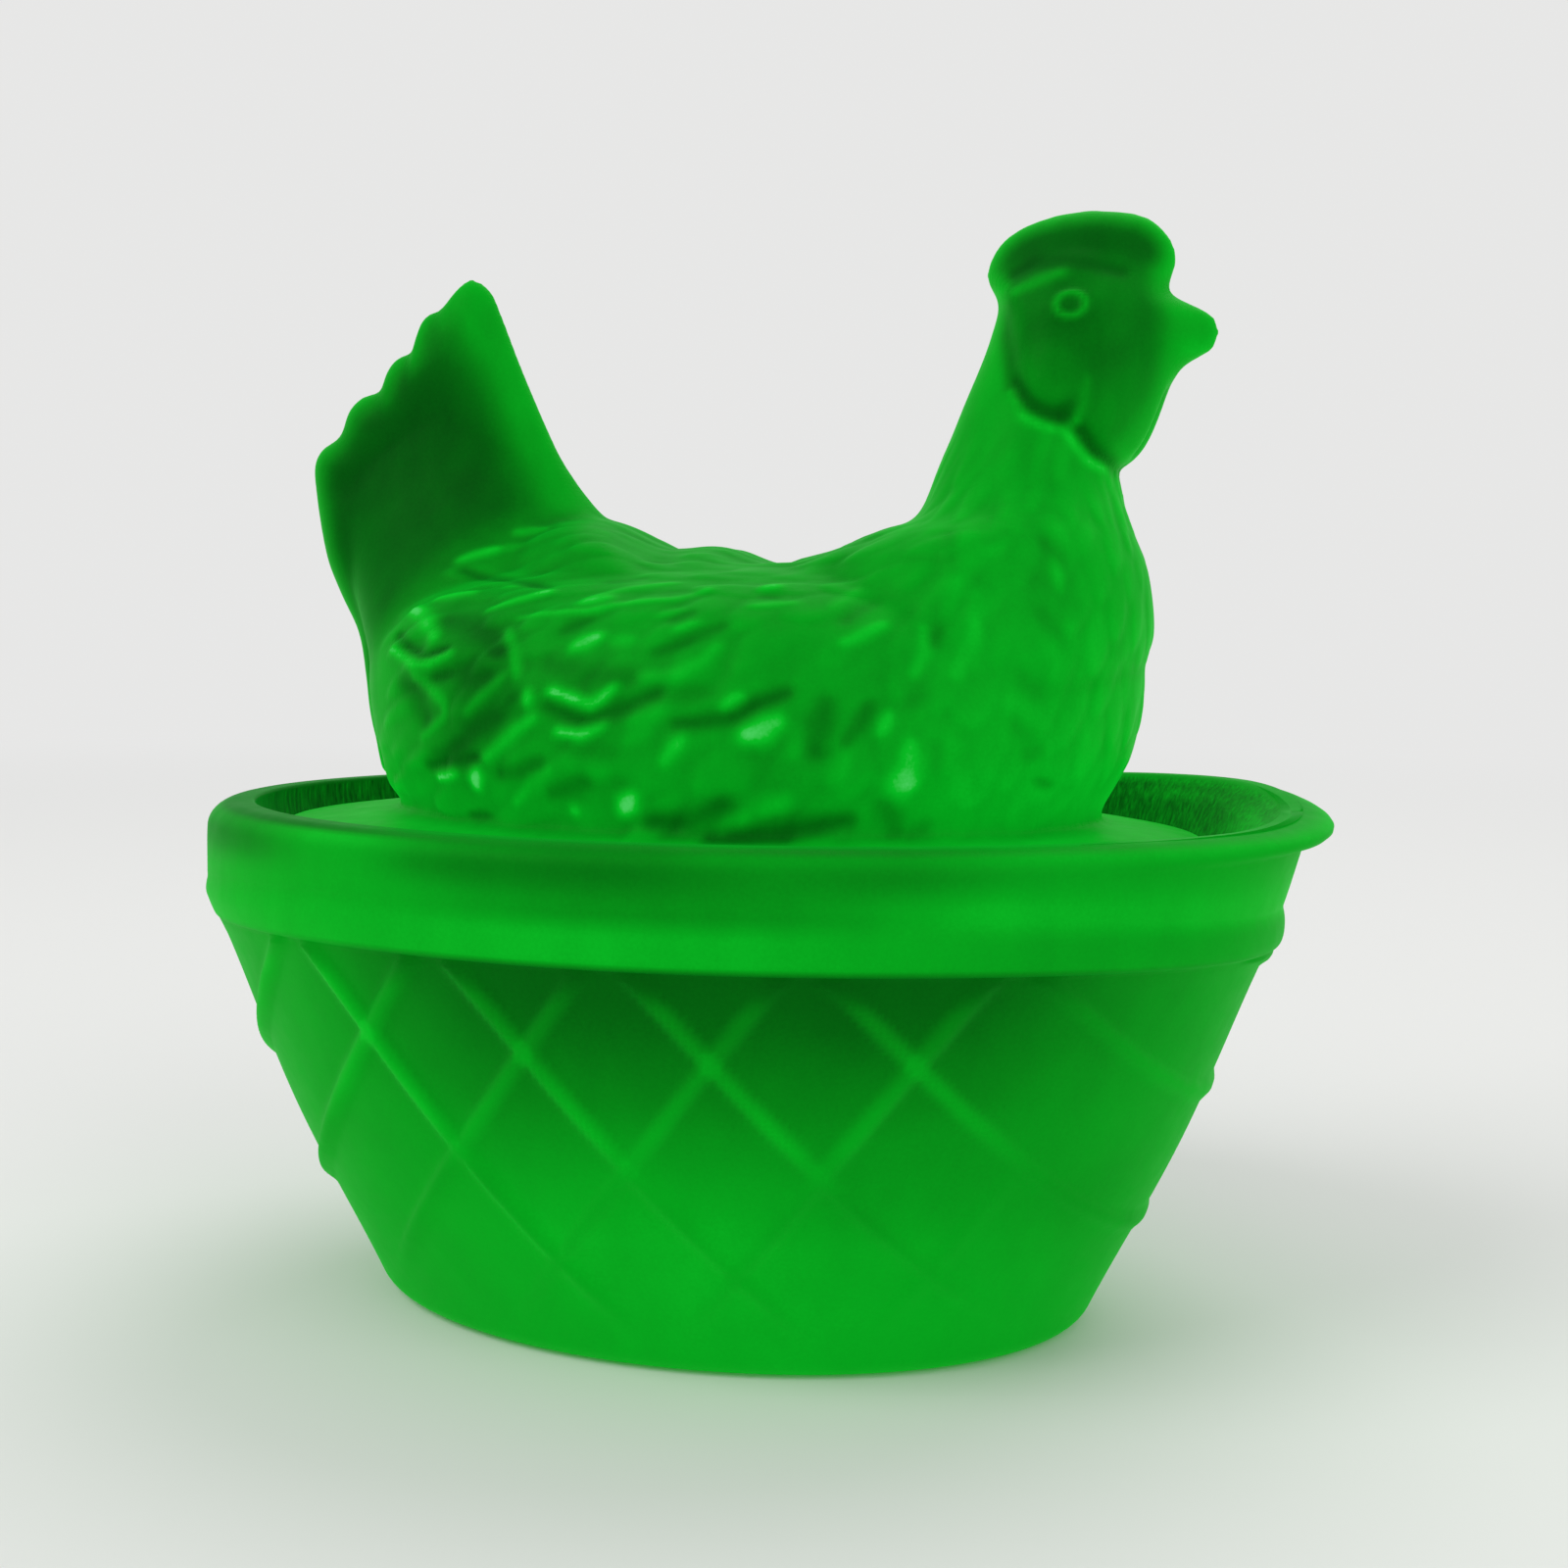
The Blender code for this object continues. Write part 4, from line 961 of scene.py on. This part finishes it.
def hollow_out(made):
    """Cuts the space under the hen, open below and rounded over at the top."""
    half_length = HOLLOW_LENGTH_SHARE * BODY_LENGTH / 2 - LID_WALL
    half_width = HOLLOW_WIDTH_SHARE * BODY_WIDTH / 2 - LID_WALL
    rings = [oval(half_length, half_width, FLANGE_BOTTOM - HOLLOW_DROP, BODY_SHIFT)]
    for angle in np.radians(np.linspace(0, HOLLOW_TURN, 16)):
        shrink = math.cos(angle) ** 0.6
        z = FLANGE_TOP + HOLLOW_HEIGHT * math.sin(angle) / math.sin(math.radians(HOLLOW_TURN))
        rings.append(oval(shrink * half_length, shrink * half_width, z, BODY_SHIFT))
    solids = Solids()
    solids.rings(rings)
    tool = make_object("hollow", make_mesh("hollow", solids.points, solids.faces))
    tree = KDTree(len(made.data.vertices))
    for i, vertex in enumerate(made.data.vertices):
        tree.insert(vertex.co, i)
    tree.balance()
    glow = np.empty(len(made.data.vertices), dtype=np.float32)
    made.data.attributes["glow"].data.foreach_get("value", glow)
    cut = made.modifiers.new("hollow", "BOOLEAN")
    cut.operation = "DIFFERENCE"
    cut.solver = "MANIFOLD"
    cut.object = tool
    mesh = baked(made)
    made.data = mesh
    bpy.data.objects.remove(tool)
    values = np.empty(len(mesh.vertices))
    for i, vertex in enumerate(mesh.vertices):
        _, index, distance = tree.find(vertex.co)
        values[i] = glow[index] if distance < 0.1 * MM else HOLLOW_LIGHT
    if "glow" in mesh.attributes:
        mesh.attributes.remove(mesh.attributes["glow"])
    put_value(mesh, "glow", values)


basket = make_basket()
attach(basket, "basket")
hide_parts("basket_base")
hen = make_hen()
hollow_out(hen)
hen.name = "hen_glass_lid"
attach(hen, "lid")
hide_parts("hen_lid")


# Studio

BACKGROUND, PAPER, ROOM_LIGHT = (0.8, 0.8, 0.795, 1.0), (0.76, 0.76, 0.75, 1.0), (0.96, 0.97, 0.96, 1.0)
ROOM_STRENGTH = 0.62
STAGE_RADII, STAGE_COUNT, STAGE_DROP = (0.0, 0.1, 0.3, 0.8, 2.0, 5.0), 96, 0.00005
FADE_FROM, FADE_TO = 0.1, 0.55
# Name, place, size and power
LAMPS = (
    ("key", (-0.4, -0.45, 0.55), 0.5, 2.4),
    ("fill", (0.55, -0.4, 0.35), 0.6, 1.2),
    ("top", (0.1, 0.35, 0.6), 0.6, 1.4),
)
LAMP_TARGET = Vector((0, 0, 0.03))


def seen_directly(tree):
    """1 for rays from the camera, also where gloss or glass carries them on."""
    path = node(tree, "ShaderNodeLightPath").outputs
    some = math_node(tree, "MAXIMUM", path["Is Camera Ray"], path["Is Glossy Ray"])
    return math_node(tree, "MAXIMUM", some, path["Is Transmission Ray"])


def mix_shaders(tree, share, first, second, output):
    mix = node(tree, "ShaderNodeMixShader")
    for socket, made in zip(mix.inputs, (share, first.outputs[0], second.outputs[0])):
        tree.links.new(made, socket)
    tree.links.new(mix.outputs[0], tree.nodes[output].inputs["Surface"])


def make_stage():
    """A wide plain floor that fades into the background far out."""
    points = []
    for radius in STAGE_RADII:
        for t in np.linspace(0, 2 * math.pi, STAGE_COUNT, endpoint=False):
            points.append((radius * math.cos(t), radius * math.sin(t), -STAGE_DROP))
    mesh = bpy.data.meshes.new("studio_floor")
    mesh.from_pydata(points, [], ring_faces(len(STAGE_RADII), STAGE_COUNT))
    mesh.shade_smooth()
    material = bpy.data.materials.new("pale_paper")
    material.use_nodes = True
    tree = material.node_tree
    shader = tree.nodes["Principled BSDF"]
    shader.inputs["Base Color"].default_value = PAPER
    shader.inputs["Roughness"].default_value = 0.9
    shader.inputs["Specular IOR Level"].default_value = 0.1
    far_light = node(tree, "ShaderNodeEmission", Color=BACKGROUND)
    where = node(tree, "ShaderNodeTexCoord").outputs["Object"]
    reach = node(tree, "ShaderNodeVectorMath", operation="LENGTH")
    tree.links.new(where, reach.inputs[0])
    far = node(tree, "ShaderNodeMapRange", interpolation_type="SMOOTHSTEP")
    far.inputs["From Min"].default_value = FADE_FROM
    far.inputs["From Max"].default_value = FADE_TO
    tree.links.new(reach.outputs["Value"], far.inputs["Value"])
    share = math_node(tree, "MULTIPLY", far.outputs["Result"], seen_directly(tree))
    mix_shaders(tree, share, shader, far_light, "Material Output")
    mesh.materials.append(material)
    make_object("studio_floor", mesh)


def add_lamp(name, place, size, power):
    lamp = bpy.data.lights.new(name, "AREA")
    lamp.shape = "DISK"
    lamp.size = size
    lamp.energy = power
    made = make_object(name, lamp)
    made.location = place
    made.rotation_euler = (LAMP_TARGET - Vector(place)).to_track_quat("-Z", "Y").to_euler()


def make_light():
    for lamp in LAMPS:
        add_lamp(*lamp)
    world = bpy.data.worlds.new("studio")
    world.use_nodes = True
    tree = world.node_tree
    back = tree.nodes["Background"]
    back.inputs["Color"].default_value = ROOM_LIGHT
    back.inputs["Strength"].default_value = ROOM_STRENGTH
    shown = node(tree, "ShaderNodeBackground", Color=BACKGROUND)
    mix_shaders(tree, seen_directly(tree), back, shown, "World Output")
    bpy.context.scene.world = world


def make_camera():
    """The photograph's view: low, a little toward the head end, and close, in millimetres and pixels."""
    sensor, photo_width, focal, shift = 36, 1600, 2067, 51.1
    distance, elevation, yaw, roll = 115.86, 4.594, 15.845, 0.605
    target = Vector((0, 0, 29.149))
    e, a, r = (math.radians(v) for v in (elevation, yaw, roll))
    back = Vector((math.sin(a) * math.cos(e), -math.cos(a) * math.cos(e), math.sin(e)))
    right = Vector((0, 0, 1)).cross(back).normalized()
    up = back.cross(right)
    turned_right = right * math.cos(r) + up * math.sin(r)
    turned_up = up * math.cos(r) - right * math.sin(r)
    data = bpy.data.cameras.new("camera")
    data.sensor_width = sensor
    data.lens = sensor * focal / photo_width
    data.shift_x = shift / photo_width
    data.clip_start = 0.005
    camera = make_object("camera", data)
    turn = Matrix((turned_right, turned_up, back)).transposed()
    camera.matrix_world = Matrix.Translation((target + back * distance) * MM) @ turn.to_4x4()
    bpy.context.scene.camera = camera


make_stage()
make_light()
make_camera()
bpy.context.scene.view_settings.view_transform = "Standard"
